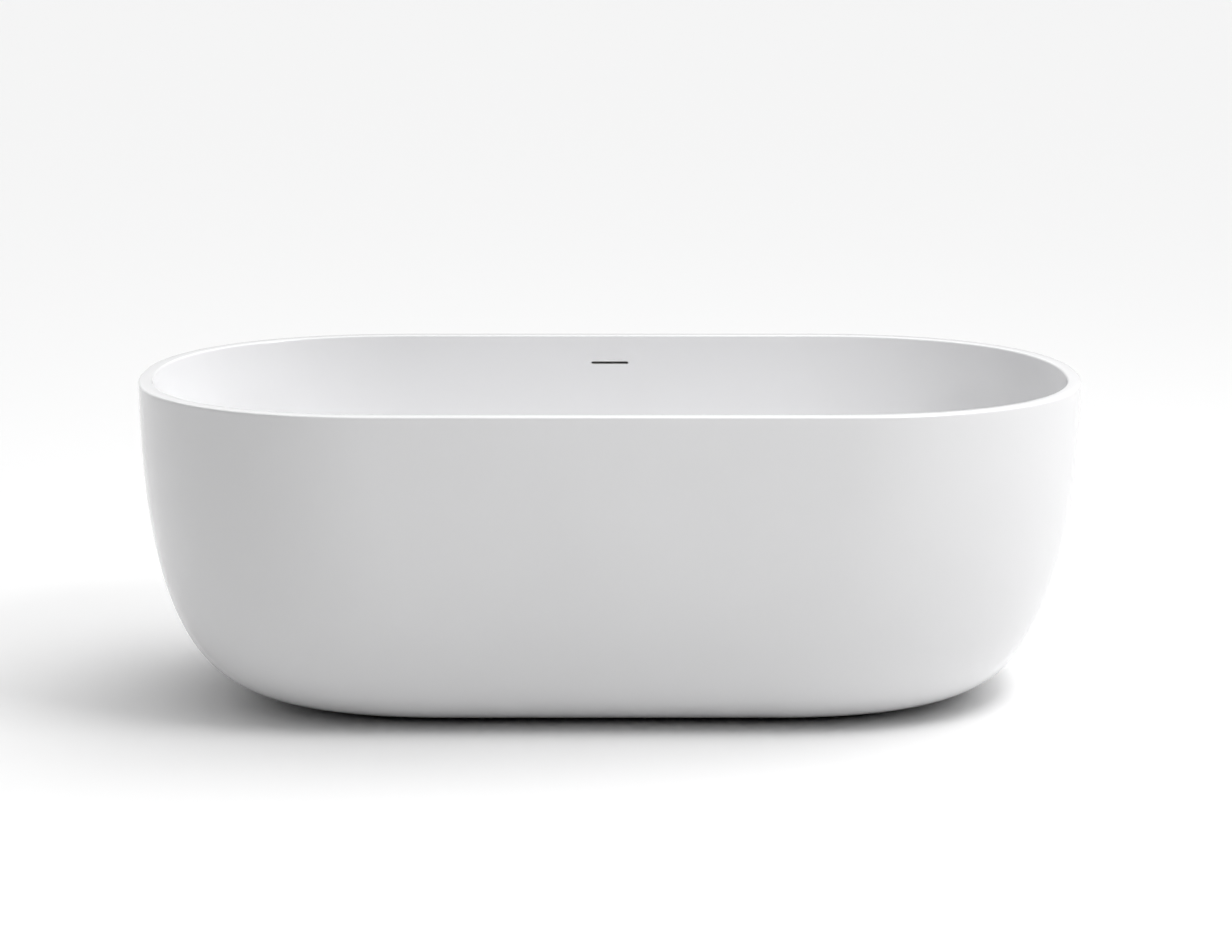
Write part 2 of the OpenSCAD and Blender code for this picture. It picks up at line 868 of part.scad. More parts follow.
// The box is glued to the back of the basin behind the slot
module overflow_box() {
    front = [for (i = [0:nv]) let (p = basin_pt(i, wall)) if (p[1] < box_top && p[1] > box_bottom) p];
    w = box_wall;
    inner = [for (i = [0:nv]) let (p = basin_pt(i, wall)) if (p[1] < box_top - w && p[1] > box_bottom + w) p];
    back = skirt_y(slot_z, wall + skirt_lam) - 1.5;
    color([0.9, 0.9, 0.9])
    difference() {
        union() {
            along_x(box_w)
                polygon(concat(
                    [[back, box_top], [basin_y(box_top, wall), box_top]],
                    front,
                    [[basin_y(box_bottom, wall), box_bottom], [back, box_bottom]]
                ));
            difference() {
                translate([0, spigot_y, box_bottom - spigot_l])
                    cylinder(r = hose_in, h = spigot_l + 1);
                basin_side(box_bottom - spigot_l - 1, box_bottom + 2);
            }
        }
        along_x(box_w - 2 * w)
            polygon(concat(
                [[back - w, box_top - w], [basin_y(box_top - w, wall) + w, box_top - w]],
                [for (p = inner) [p[0] + w, p[1]]],
                [[basin_y(box_bottom + w, wall) + w, box_bottom + w], [back - w, box_bottom + w]]
            ));
        translate([-slot_length / 2 - 2, half_w - 60, slot_z - slot_height / 2 - 5.5])
            cube([slot_length + 4, 60 - (half_w - back) - 2 * w, slot_height + 11]);
        translate([0, spigot_y, box_bottom - spigot_l - 1])
            cylinder(r = hose_in - 2, h = spigot_l + w + 5);
    }
}

// The hose runs down between the basin and the skirt, then in under the rail
function hose_y(z) = max(
    z < z_edge ? 0 : (skirt_y(z, wall + skirt_lam) + basin_y(z, wall + basin_lam)) / 2,
    skirt_y(z, wall + skirt_lam) - hose_r - 8
);
hose_top = clamp_top + 6;
bend_top = z_branch + 73;
bend_y = hose_y(bend_top);
bend_run = 75;
bend_dir = [hose_y(bend_top + 10) - bend_y, 10];

function mix(a, b, k) = a + (b - a) * k;
function bezier(a, b, c, d, k) =
    mix(mix(mix(a, b, k), mix(b, c, k), k), mix(mix(b, c, k), mix(c, d, k), k), k);

n_drop = 9;
n_bend = 7;
hose_path = concat(
    [[spigot_y, hose_top]],
    [for (i = [0:n_drop])
        let (z = mix(hose_drop, bend_top, i / n_drop))
        [i == 0 ? spigot_y : hose_y(z), z]],
    [for (i = [1:n_bend])
        bezier([bend_y, bend_top],
               [bend_y, bend_top] - 35 * bend_dir / norm(bend_dir),
               [bend_y - bend_run / 2, z_branch],
               [bend_y - bend_run, z_branch], i / n_bend)],
    [[branch_end, z_branch]]
);

// A ring of hose points round the path point i
hose_n = 16;
function heading(i) =
    let (a = hose_path[max(0, i - 1)], b = hose_path[min(len(hose_path) - 1, i + 1)])
    i == 0 ? [0, -1] : i == len(hose_path) - 1 ? [-1, 0] : (b - a) / norm(b - a);
function hose_ring(i, r) =
    let (p = hose_path[i], h = heading(i))
    [for (j = [0:hose_n - 1])
        let (c = r * cos(360 * j / hose_n), s = r * sin(360 * j / hose_n))
        [c, p[0] + s * h[1], p[1] - s * h[0]]];

module overflow_hose() {
    n = len(hose_path);
    color([0.8, 0.8, 0.8])
        loft(concat(
            [for (i = [0:n - 1]) hose_ring(i, hose_r)],
            [for (i = [n - 1:-1:0]) hose_ring(i, hose_in + hose_fit)]
        ), true);
}

module hose_clamp() {
    difference() {
        union() {
            cylinder(r = hose_r + clamp_t, h = clamp_h, center = true);
            translate([hose_r - 1, -5.5, -clamp_h / 2 + 0.5])
                cube([7, 11, clamp_h - 1]);
        }
        cylinder(r = hose_r + 0.05, h = clamp_h + 3, center = true);
        translate([hose_r + clamp_t + 2.1, 0, 0])
            rotate([90, 0, 0])
                cylinder(r = 1.8, h = 14, center = true);
    }
}

module clamp_screw() {
    translate([hose_r + clamp_t + 2.1, 0, 0])
        rotate([90, 0, 0]) {
            cylinder(r = 1.8, h = 14, center = true);
            translate([0, 0, 6.4])
                cylinder(r = 3.3, h = 3.5, $fn = 6);
        }
}

module at_upper_clamp() {
    translate([0, spigot_y, clamp_top - clamp_h / 2])
        children();
}

module at_lower_clamp() {
    translate([0, branch_end + 12, z_branch])
        rotate([90, 0, 0])
            children();
}

module hose_clamp_upper() {
    color([0.75, 0.76, 0.78])
        at_upper_clamp()
            hose_clamp();
}

module hose_clamp_lower() {
    color([0.75, 0.76, 0.78])
        at_lower_clamp()
            hose_clamp();
}

module clamp_screws() {
    color([0.7, 0.7, 0.7]) {
        at_upper_clamp()
            clamp_screw();
        at_lower_clamp()
            clamp_screw();
    }
}

// ---- assembly ---------------------------------------------------------------

basin_shell();
basin_laminate();
outer_skirt();
skirt_laminate();
rim_bond();
base_board();
board_screws();
rail_front();
rail_rear();
cross_left();
cross_right();
tube_caps();
frame_bolts();
frame_nuts();
skirt_brackets();
bracket_bolts();
bracket_nuts();
bond_pads();
weld_nuts();
lock_nuts();
pad_front_left();
pad_front_right();
pad_rear_left();
pad_rear_right();
stud_front_left();
stud_front_right();
stud_rear_left();
stud_rear_right();
waste_flange();
flange_gasket();
waste_gasket();
waste_body();
plug_guide();
plug_spring();
plug_stem();
plug_cap();
plug_seal();
tail_nut();
tail_washer();
tailpiece();
overflow_box();
overflow_hose();
hose_clamp_upper();
hose_clamp_lower();
clamp_screws();
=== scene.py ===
"""Freestanding bathtub: the visual model, built over the CAD frame."""

import math

import bmesh
import bpy
import numpy as np
from mathutils import Matrix, Vector


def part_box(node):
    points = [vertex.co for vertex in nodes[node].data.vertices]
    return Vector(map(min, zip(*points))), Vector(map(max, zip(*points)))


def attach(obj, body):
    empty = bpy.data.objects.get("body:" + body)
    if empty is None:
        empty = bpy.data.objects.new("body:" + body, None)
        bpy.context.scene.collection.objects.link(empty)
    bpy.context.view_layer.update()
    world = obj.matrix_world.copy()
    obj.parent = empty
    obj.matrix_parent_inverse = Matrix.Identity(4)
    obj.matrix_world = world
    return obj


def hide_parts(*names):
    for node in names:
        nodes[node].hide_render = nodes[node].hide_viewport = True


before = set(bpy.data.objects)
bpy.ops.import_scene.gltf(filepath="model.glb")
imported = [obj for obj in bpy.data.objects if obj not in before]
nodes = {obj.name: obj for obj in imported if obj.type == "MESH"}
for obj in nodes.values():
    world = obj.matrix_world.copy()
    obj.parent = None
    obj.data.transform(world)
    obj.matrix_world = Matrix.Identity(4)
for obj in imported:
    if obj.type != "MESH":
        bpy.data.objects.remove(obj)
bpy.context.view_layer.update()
MM = 0.001
MATH = "ShaderNodeMath"

# ---- sizes, in millimetres, as in the CAD source ---------------------------

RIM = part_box("basin_shell")[1]
HALF_L, HALF_W, RIM_Z = (round(v / MM, 3) for v in RIM)
SKIRT_FOOT = round(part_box("outer_skirt")[0].z / MM, 3)
END_ROUND, FOOT_ROUND, FLOOR_ROUND = 474, 586.5, 551
RIM_WIDTH, RIM_EDGE, WALL = 25, 4, 4
BASIN_LAM, SKIRT_LAM = 4, 3
END_TUCK, SIDE_TUCK, REACH = 353, 146, 0.998
END_RAKE, SIDE_RAKE = 285, 145
RECESS_R, RECESS_DEPTH, FLOOR_FALL, HOLE_R = 50, 5, 5, 26
RECESS_Z = round(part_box("flange_gasket")[0].z / MM, 3)
FLOOR_Z = RECESS_Z + RECESS_DEPTH
SLOT_LENGTH, SLOT_HEIGHT, SLOT_DROP = 72, 5, 53
TOP_ROUNDNESS, FOOT_ROUNDNESS = 2.247, 2.644
LIP = RIM_EDGE + WALL
TUBE_W, TUBE_T, BRACKET_W, BRACKET_T = 30, 2, 30, 3
WINDOW_FOOT = 395
HOSE_WALL, BEND_RUN, CLAMP_T = 2.6, 75, 1.2


def linear(code):
    """An sRGB hex colour as linear RGBA."""
    parts = [int(code[i : i + 2], 16) / 255 for i in (0, 2, 4)]
    return [p / 12.92 if p <= 0.04045 else ((p + 0.055) / 1.055) ** 2.4 for p in parts] + [1]


def add(tree, kind, *inputs, **settings):
    """Adds a node, sets it up and links or fills its inputs in order; None leaves one as it is."""
    node = tree.nodes.new(kind)
    by_name = settings.pop("named", {})
    for key, value in settings.items():
        setattr(node, key, value)
    for key, value in [*enumerate(inputs), *by_name.items()]:
        if value is None:
            continue
        if isinstance(value, bpy.types.Node):
            value = next(o for o in value.outputs if o.enabled)
        if isinstance(value, bpy.types.NodeSocket):
            tree.links.new(value, node.inputs[key])
        else:
            node.inputs[key].default_value = value
    return node


# ---- camera, light and floor -------------------------------------------------

camera = bpy.data.objects.new("camera", bpy.data.cameras.new("camera"))
bpy.context.scene.collection.objects.link(camera)
CAMERA_AWAY, CAMERA_HIGH, CAMERA_DOWN = 4.898, 1.525, 12.84
camera.data.sensor_width = 36
camera.data.lens = 80.12
camera.data.shift_x = 0.005
camera.location = (0, -CAMERA_AWAY, CAMERA_HIGH)
camera.rotation_euler = (math.radians(90 - CAMERA_DOWN), 0, 0)
camera.data.clip_end = 200
bpy.context.scene.camera = camera
bpy.context.scene.view_settings.view_transform = "Standard"
bpy.context.scene.view_settings.look = "None"

floor_mesh = bpy.data.meshes.new("studio_floor")
FLOOR_REACH = 60
floor_corners = [(x * FLOOR_REACH, y * FLOOR_REACH, 0) for x, y in ((-1, -1), (1, -1), (1, 1), (-1, 1))]
floor_mesh.from_pydata(floor_corners, [], [(0, 1, 2, 3)])
floor = bpy.data.objects.new("studio_floor", floor_mesh)
bpy.context.scene.collection.objects.link(floor)
paper = bpy.data.materials.new("white_studio_floor")
paper.use_nodes = True
paper.node_tree.nodes.clear()
shade = add(paper.node_tree, "ShaderNodeBsdfDiffuse", linear("F2F2F2"))
add(paper.node_tree, "ShaderNodeOutputMaterial", shade)
floor_mesh.materials.append(paper)

sky = bpy.data.worlds.new("studio")
bpy.context.scene.world = sky
sky.use_nodes = True
sky.node_tree.nodes.clear()
tree = sky.node_tree
direction = add(tree, "ShaderNodeTexCoord").outputs["Generated"]


def towards(azimuth, elevation):
    """The direction at an azimuth, turned from +X towards +Y, and an elevation, in degrees."""
    a, e = math.radians(azimuth), math.radians(elevation)
    return Vector((math.cos(a) * math.cos(e), math.sin(a) * math.cos(e), math.sin(e)))


# Broad soft lights overhead, behind and on the right; the camera's side stays dark
SPREAD = 8.0
SOFT_LIGHTS = ((0, 90, 0.32), (135, 12, 2.0), (0, 65, 2.3), (90, 65, 0.7), (45, 40, 1.7))
total = 0.0
for azimuth, elevation, strength in SOFT_LIGHTS:
    centre = towards(azimuth, elevation)
    facing = add(tree, "ShaderNodeVectorMath", direction, centre, operation="DOT_PRODUCT")
    falloff = add(tree, MATH, facing, SPREAD, -SPREAD, operation="MULTIPLY_ADD")
    lobe = add(tree, MATH, falloff, operation="EXPONENT")
    total = add(tree, MATH, lobe, strength, total, operation="MULTIPLY_ADD")
glow = add(tree, "ShaderNodeBackground", linear("FFFFFF"), total)
add(tree, "ShaderNodeOutputWorld", glow)

# The key light: a square softbox high on the right
KEY_SIDE, KEY_REACH, KEY_GLOW = 0.97, 3.0, 13.6
key = bpy.data.objects.new("key_light", bpy.data.lights.new("key_light", "AREA"))
bpy.context.scene.collection.objects.link(key)
key.data.size = KEY_SIDE
key.data.energy = KEY_GLOW * math.pi * KEY_SIDE**2
key_way = towards(325, 55)
key.location = key_way * KEY_REACH + Vector((0, 0, 0.3))
key.rotation_euler = key_way.to_track_quat("Z", "Y").to_euler()

# ---- finishes ------------------------------------------------------------------


def finish_of(name, colour, roughness, metallic=0.0, **more):
    """A new material with a principled shader, set to one finish; its pattern is added after."""
    made = bpy.data.materials.new(name)
    made.use_nodes = True
    made.node_tree.nodes.clear()
    named = {"Base Color": linear(colour), "Roughness": roughness, "Metallic": metallic, **more}
    shader = add(made.node_tree, "ShaderNodeBsdfPrincipled", named=named)
    add(made.node_tree, "ShaderNodeOutputMaterial", shader)
    return made, made.node_tree, shader, add(made.node_tree, "ShaderNodeTexCoord").outputs["Object"]


def per(spacing):
    """Noise or cell scale for a spacing in millimetres."""
    return 1 / (spacing * MM)


def noise(tree, place, spacing, detail=2.0, rough=0.5):
    named = {"Vector": place, "Scale": per(spacing), "Detail": detail, "Roughness": rough}
    return add(tree, "ShaderNodeTexNoise", named=named)


def vary(tree, shader, socket, field, low, high, start=0.3, stop=0.7):
    """Drives a socket of the shader between two values by a field."""
    spread = add(tree, "ShaderNodeMapRange", field, start, stop, low, high)
    tree.links.new(spread.outputs[0], shader.inputs[socket])


def tint(tree, shader, field, *stops):
    """Colours the shader by a field, from (position, hex) stops."""
    ramp = add(tree, "ShaderNodeValToRGB", field)
    while len(ramp.color_ramp.elements) < len(stops):
        ramp.color_ramp.elements.new(0.5)
    for element, (at, colour) in zip(ramp.color_ramp.elements, stops):
        element.position, element.color = at, linear(colour)
    tree.links.new(ramp.outputs["Color"], shader.inputs["Base Color"])


def relief(tree, shader, *layers):
    """Bumps the surface by (field, depth in millimetres, strength) layers, the first lowest."""
    below = None
    for field, depth, strength in layers:
        named = {"Height": field, "Distance": depth * MM, "Strength": strength, "Normal": below}
        below = add(tree, "ShaderNodeBump", named=named)
    tree.links.new(below.outputs[0], shader.inputs["Normal"])


# Cast acrylic sheet, vacuum formed and polished: a clean, deep gloss white whose face still
# swells very slightly over a hand's width, as a drawn sheet does, with wiping marks in the gloss.
acrylic, tree, shader, place = finish_of("cast_acrylic_vacuum_formed", "EBEBEC", 0.08, IOR=1.49)
relief(tree, shader, (noise(tree, place, 110, 1.0), 1.2, 0.10), (noise(tree, place, 6), 0.1, 0.04))
vary(tree, shader, "Roughness", noise(tree, place, 200, 5.0, 0.6), 0.06, 0.11)
tint(tree, shader, noise(tree, place, 300, 2.0), (0.3, "EAEAEB"), (0.7, "ECECED"))

# Glass-fibre laminate, sprayed and rolled: chopped strands 25 to 50 mm long show as pale
# hairs in a yellowish resin, with a lumpy, half-glossy face.
laminate, tree, shader, place = finish_of("sprayed_glass_fibre_laminate", "C9C4A6", 0.42, IOR=1.55)
strands = None
for turn in (0.2, 1.3, 2.2):
    named = {"Vector": place, "Rotation": (turn, turn * 0.7, turn), "Scale": (1, 0.06, 1)}
    turned_place = add(tree, "ShaderNodeMapping", named=named)
    named = {"Vector": turned_place, "Scale": per(3.5), "Detail": 2.0, "Distortion": 0.6}
    hair = add(tree, "ShaderNodeTexNoise", named=named)
    strands = add(tree, MATH, hair, strands, operation="MAXIMUM") if strands else hair
tint(tree, shader, strands, (0.45, "A8A27F"), (0.6, "C8C3A4"), (0.72, "E6E3CF"))
relief(tree, shader, (noise(tree, place, 40), 1.5, 0.5), (strands, 0.5, 0.6))
vary(tree, shader, "Roughness", noise(tree, place, 25), 0.32, 0.6)

# Filled polyester bonding paste, squeezed out and cured: dull off-white with trowel drags.
filled_adhesive, tree, shader, place = finish_of("polyester_bonding_paste", "D8D2BF", 0.62)
drag = add(tree, "ShaderNodeMapping", named={"Vector": place, "Scale": (0.25, 1, 1)})
relief(tree, shader, (noise(tree, place, 14), 1.0, 0.5), (noise(tree, drag, 2), 0.3, 0.6))
tint(tree, shader, noise(tree, place, 9), (0.3, "CFC8B2"), (0.7, "E0DBCB"))

# Birch plywood, sawn and sanded: long grain on the faces, 13 plies of 1.4 mm turned crosswise
# on the edge, where every second ply shows dark end grain.
birch_ply, tree, shader, place = finish_of("birch_plywood", "CBA677", 0.58)
height = add(tree, "ShaderNodeSeparateXYZ", place).outputs["Z"]
ply = add(tree, MATH, height, per(2.77), operation="MULTIPLY")
ply = add(tree, MATH, add(tree, MATH, ply, operation="FRACT"), 0.5, operation="GREATER_THAN")
normal = add(tree, "ShaderNodeNewGeometry").outputs["Normal"]
up = add(tree, MATH, add(tree, "ShaderNodeSeparateXYZ", normal).outputs["Z"], operation="ABSOLUTE")
edge_only = add(tree, MATH, add(tree, MATH, up, 0.5, operation="LESS_THAN"), ply, operation="MULTIPLY")
long_way = add(tree, "ShaderNodeMapping", named={"Vector": place, "Scale": (0.05, 1, 1)})
named = {"Vector": long_way, "Scale": per(6), "Detail": 5.0, "Distortion": 0.8}
grain = add(tree, "ShaderNodeTexNoise", named=named)
shaded = add(tree, MATH, edge_only, -0.22, grain, operation="MULTIPLY_ADD")
tint(tree, shader, shaded, (0.15, "8A6238"), (0.42, "BE9563"), (0.6, "D6B588"))
relief(tree, shader, (grain, 0.3, 0.4), (noise(tree, long_way, 0.8), 0.1, 0.3))
vary(tree, shader, "Roughness", grain, 0.5, 0.68)

# Zinc-plated and passivated steel: bright with a cool, faintly yellow bloom and fine plating haze.
zinc, tree, shader, place = finish_of("zinc_plated_steel", "B9BBBD", 0.3, 1.0)
bloom = noise(tree, place, 12, 3.0)
tint(tree, shader, bloom, (0.3, "A9ACB2"), (0.55, "BFC0BF"), (0.75, "C6C2AE"))
vary(tree, shader, "Roughness", noise(tree, place, 3, 4.0), 0.22, 0.42)
relief(tree, shader, (noise(tree, place, 0.8), 0.05, 0.3))

# Hot-dip galvanised tube: zinc crystals 8 to 15 mm across, each catching the light its own way.
galvanised, tree, shader, place = finish_of("hot_dip_galvanised_steel", "9DA2A6", 0.42, 1.0)
spangle = add(tree, "ShaderNodeTexVoronoi", named={"Vector": place, "Scale": per(11)})
leaf = add(tree, "ShaderNodeSeparateColor", spangle.outputs["Color"])
tint(tree, shader, leaf.outputs["Red"], (0.0, "8A9095"), (0.5, "A3A8AB"), (1.0, "B8BCBE"))
vary(tree, shader, "Roughness", leaf.outputs["Green"], 0.3, 0.55, 0.0, 1.0)
relief(tree, shader, (leaf.outputs["Blue"], 0.05, 0.5), (noise(tree, place, 2), 0.05, 0.4))

# Injection moulded polyethylene: soft-sheen black with a spark-eroded grain.
cap_plastic, tree, shader, place = finish_of("moulded_black_polyethylene", "1B1B1D", 0.45)
relief(tree, shader, (noise(tree, place, 0.5), 0.08, 0.5))
vary(tree, shader, "Roughness", noise(tree, place, 10, 3.0), 0.38, 0.55)

# Moulded rubber foot: dull charcoal with random paler dusty patches, and a fine mould grain.
foot_rubber, tree, shader, place = finish_of("moulded_foot_rubber", "26262A", 0.72)
tint(tree, shader, noise(tree, place, 6, 4.0), (0.35, "222225"), (0.75, "36363A"))
relief(tree, shader, (noise(tree, place, 0.7), 0.1, 0.5))
vary(tree, shader, "Roughness", noise(tree, place, 8), 0.62, 0.8)

# Nitrile sealing rubber: smooth black with a faint bloom.
seal_rubber, tree, shader, place = finish_of("nitrile_rubber", "151517", 0.5)
relief(tree, shader, (noise(tree, place, 1.2), 0.05, 0.4))
vary(tree, shader, "Roughness", noise(tree, place, 7), 0.42, 0.62)

# Chromium plate on polished brass: a mirror with the slightest lapping haze.
chrome, tree, shader, place = finish_of("chromium_plate", "D5D7DA", 0.06, 1.0)
vary(tree, shader, "Roughness", noise(tree, place, 15, 5.0, 0.7), 0.04, 0.10)
relief(tree, shader, (noise(tree, place, 18, 1.0), 0.05, 0.1))

# Injection moulded ABS: slightly warm white, satin, with a spark-eroded grain and flow variation.
abs_white, tree, shader, place = finish_of("moulded_white_abs", "E4E3DE", 0.4)
tint(tree, shader, noise(tree, place, 45), (0.3, "DEDDD7"), (0.7, "E8E7E3"))
relief(tree, shader, (noise(tree, place, 0.6), 0.05, 0.4))
vary(tree, shader, "Roughness", noise(tree, place, 20), 0.34, 0.48)

# Turned brass: fine circular tool marks 0.5 mm apart, warm yellow, lightly dulled.
turned_brass, tree, shader, place = finish_of("turned_brass", "C9A558", 0.26, 1.0)
named = {"Vector": place, "Scale": per(10) / 2, "Distortion": 0.4}
marks = add(tree, "ShaderNodeTexWave", named=named, bands_direction="Z")
relief(tree, shader, (marks, 0.03, 0.4))
tint(tree, shader, noise(tree, place, 7, 3.0), (0.3, "B8934A"), (0.7, "D2AF66"))

# Spring steel wire, cold wound: close coils 1.2 mm apart down the tube of the coil; its colour is painted
# shade, dark in the gaps between coils and paler on the coil crests.
spring_wire, tree, shader, place = finish_of("spring_steel_wire", "6F7276", 0.32, 1.0)
named = {"Vector": place, "Scale": per(1.2) / 20, "Distortion": 0.0}
coil_ridges_and_gap_shade = add(tree, "ShaderNodeTexWave", named=named, bands_direction="Z")
relief(tree, shader, (coil_ridges_and_gap_shade, 0.6, 1.0))
# Painted shade: the coil bands colour the gaps between coils dark and the coil crests paler.
tint(tree, shader, coil_ridges_and_gap_shade, (0.1, "2A2B2E"), (0.6, "83868A"))

# Extruded flexible PVC: milky grey-white, satin, with a slight extruder streak.
hose_plastic, tree, shader, place = finish_of("flexible_pvc_hose", "CFD0CC", 0.38)
tint(tree, shader, noise(tree, place, 30), (0.3, "C6C7C2"), (0.7, "D8D9D6"))
relief(tree, shader, (noise(tree, place, 2.5), 0.1, 0.3))
vary(tree, shader, "Roughness", noise(tree, place, 12), 0.3, 0.46)

# Rolled stainless strip: fine rolling lines along the band, bright and cool.
stainless, tree, shader, place = finish_of("rolled_stainless_strip", "B4B6B9", 0.25, 1.0)
rolled = add(tree, "ShaderNodeMapping", named={"Vector": place, "Scale": (0.1, 0.1, 1)})
relief(tree, shader, (noise(tree, rolled, 0.3, 3.0), 0.02, 0.4))
vary(tree, shader, "Roughness", noise(tree, rolled, 0.5, 3.0), 0.18, 0.34)

# ---- the shell rule ----------------------------------------------------------
# Every skin and turned part is a stack of plans. A plan is two rounded ends joined by a straight
# middle; a profile row gives its half length, half width, straight half, roundness, height and,
# on a spanner face, half the distance across the flats.

ROUND = 1e5  # stands for "no flats"


def inset(u, depth, power, root):
    return depth * (1 - max(0.0, 1 - u**power) ** (1 / root))


def skirt_row(u, t=0.0):
    """A row of the skirt at the share u of its height, moved inwards by t along its slope."""
    drop = RIM_Z - SKIRT_FOOT

    def end(k):
        return inset(k * REACH, END_TUCK, 2.52, 3.64)

    def side(k):
        return inset(k * REACH, SIDE_TUCK, 3.86, 1.80)

    a, b = max(0.0, u - 0.004), min(1.0, u + 0.004)
    slope = math.atan2((end(b) + side(b) - end(a) - side(a)) / 2, (b - a) * drop)
    straight = HALF_L - max(END_ROUND * (1 - u * u) + FOOT_ROUND * u * u, end(u) + 60)
    round_by = TOP_ROUNDNESS * (1 - u * u) + FOOT_ROUNDNESS * u * u
    move = t * math.cos(slope)
    z = RIM_Z - u * drop + t * math.sin(slope)
    return (HALF_L - end(u) - move, HALF_W - side(u) - move, straight, round_by, z, ROUND)


def basin_row(v, t=0.0):
    """A row of the basin's inner face at the share v of its depth, moved outwards by t along its slope."""
    drop = RIM_Z - RIM_EDGE - FLOOR_Z - FLOOR_FALL

    def end(k):
        return inset(k, END_RAKE, 1.5, 2.6)

    def side(k):
        return inset(k, SIDE_RAKE, 1.3, 2.6)

    a, b = max(0.0, v - 0.004), min(1.0, v + 0.004)
    slope = math.atan2((end(b) + side(b) - end(a) - side(a)) / 2, (b - a) * drop)
    slope = 0.0 if v == 0 else math.pi / 2 if v == 1 else slope
    straight = HALF_L - END_ROUND * (1 - v * v) - FLOOR_ROUND * v * v
    move = t * math.cos(slope)
    z = RIM_Z - RIM_EDGE - v * drop - t * math.sin(slope)
    top = HALF_L - RIM_WIDTH, HALF_W - RIM_WIDTH
    return (top[0] - end(v) + move, top[1] - side(v) + move, straight, TOP_ROUNDNESS, z, ROUND)


def rim_row(d, z):
    return (HALF_L - d, HALF_W - d, HALF_L - END_ROUND, TOP_ROUNDNESS, z, ROUND)


def disc_row(r, z, flats=ROUND):
    return (r, r, 0.0, 2.0, z, flats)


def wrapped_grid(tree, rows, columns, start):
    """A grid for a skin that goes all round: its mesh, with each point's row and its angle."""
    # One more column than asked for: the last lies on the first and is merged with it
    across = add(tree, MATH, columns, 1.0, operation="ADD")
    grid = add(tree, "GeometryNodeMeshGrid", 1.0, 1.0, rows, across)
    index = add(tree, "GeometryNodeInputIndex")
    row = add(tree, MATH, add(tree, MATH, index, across, operation="DIVIDE"), operation="FLOOR")
    column = add(tree, MATH, index, across, operation="MODULO")
    step = add(tree, MATH, math.tau, columns, operation="DIVIDE")
    shifted = add(tree, MATH, column, start, operation="ADD")
    return grid.outputs["Mesh"], row, add(tree, MATH, shifted, step, operation="MULTIPLY")


def closed_end(tree, mesh, finish):
    """Ends a tree: seams merged, instances made real, the finish set."""
    merged = add(tree, "GeometryNodeMergeByDistance", mesh, named={"Distance": 1e-6})
    whole = add(tree, "GeometryNodeRealizeInstances", merged)
    done = add(tree, "GeometryNodeSetMaterial", whole, named={"Material": finish})
    add(tree, "NodeGroupOutput", done)
    return tree


def new_tree(name, **sizes):
    """A geometry node tree with named inputs: a float, a whole number or None for the base mesh."""
    tree = bpy.data.node_groups.new(name, "GeometryNodeTree")
    tree.interface.new_socket("Base", in_out="INPUT", socket_type="NodeSocketGeometry")
    for key, value in sizes.items():
        kind = "NodeSocketInt" if isinstance(value, int) else "NodeSocketFloat"
        tree.interface.new_socket(key, in_out="INPUT", socket_type=kind).default_value = value
    tree.interface.new_socket("Finish", in_out="INPUT", socket_type="NodeSocketMaterial")
    tree.interface.new_socket("Made", in_out="OUTPUT", socket_type="NodeSocketGeometry")
    return tree, add(tree, "NodeGroupInput").outputs


def loft_tree():
    """Sweeps a profile's rows round the plan rule."""
    tree, given = new_tree("plan_loft", Columns=192, Rows=2, Start=0.5)
    mesh, row, turn = wrapped_grid(tree, given["Rows"], given["Columns"], given["Start"])
    read = {}
    for name in ("half_length", "half_width", "straight", "roundness", "height", "flats"):
        field = add(tree, "GeometryNodeInputNamedAttribute", name, data_type="FLOAT")
        sampled = {"data_type": "FLOAT", "domain": "POINT", "named": {"Index": row}}
        read[name] = add(tree, "GeometryNodeSampleIndex", given["Base"], field, **sampled)
    power = add(tree, MATH, 2.0, read["roundness"], operation="DIVIDE")
    face = add(tree, MATH, turn, math.radians(60), operation="MODULO")
    face = add(tree, MATH, face, math.radians(30), operation="SUBTRACT")
    reach = add(tree, MATH, read["flats"], add(tree, MATH, face, operation="COSINE"), operation="DIVIDE")
    part = {}
    for name, wave, size in (("x", "COSINE", "half_length"), ("y", "SINE", "half_width")):
        value = add(tree, MATH, turn, operation=wave)
        bare = add(tree, MATH, value, operation="ABSOLUTE")
        bulge = add(tree, MATH, bare, power, operation="POWER")
        limit = add(tree, MATH, read[size], reach, operation="MINIMUM")
        part[name] = add(tree, MATH, value, operation="SIGN"), bulge, limit
    end = add(tree, MATH, part["x"][2], read["straight"], operation="SUBTRACT")
    x = add(tree, MATH, part["x"][1], end, read["straight"], operation="MULTIPLY_ADD")
    x = add(tree, MATH, x, part["x"][0], operation="MULTIPLY")
    y = add(tree, MATH, part["y"][1], part["y"][2], operation="MULTIPLY")
    y = add(tree, MATH, y, part["y"][0], operation="MULTIPLY")
    place = add(tree, "ShaderNodeCombineXYZ", x, y, read["height"])
    placed = add(tree, "GeometryNodeSetPosition", mesh, named={"Position": place})
    return closed_end(tree, placed, given["Finish"])


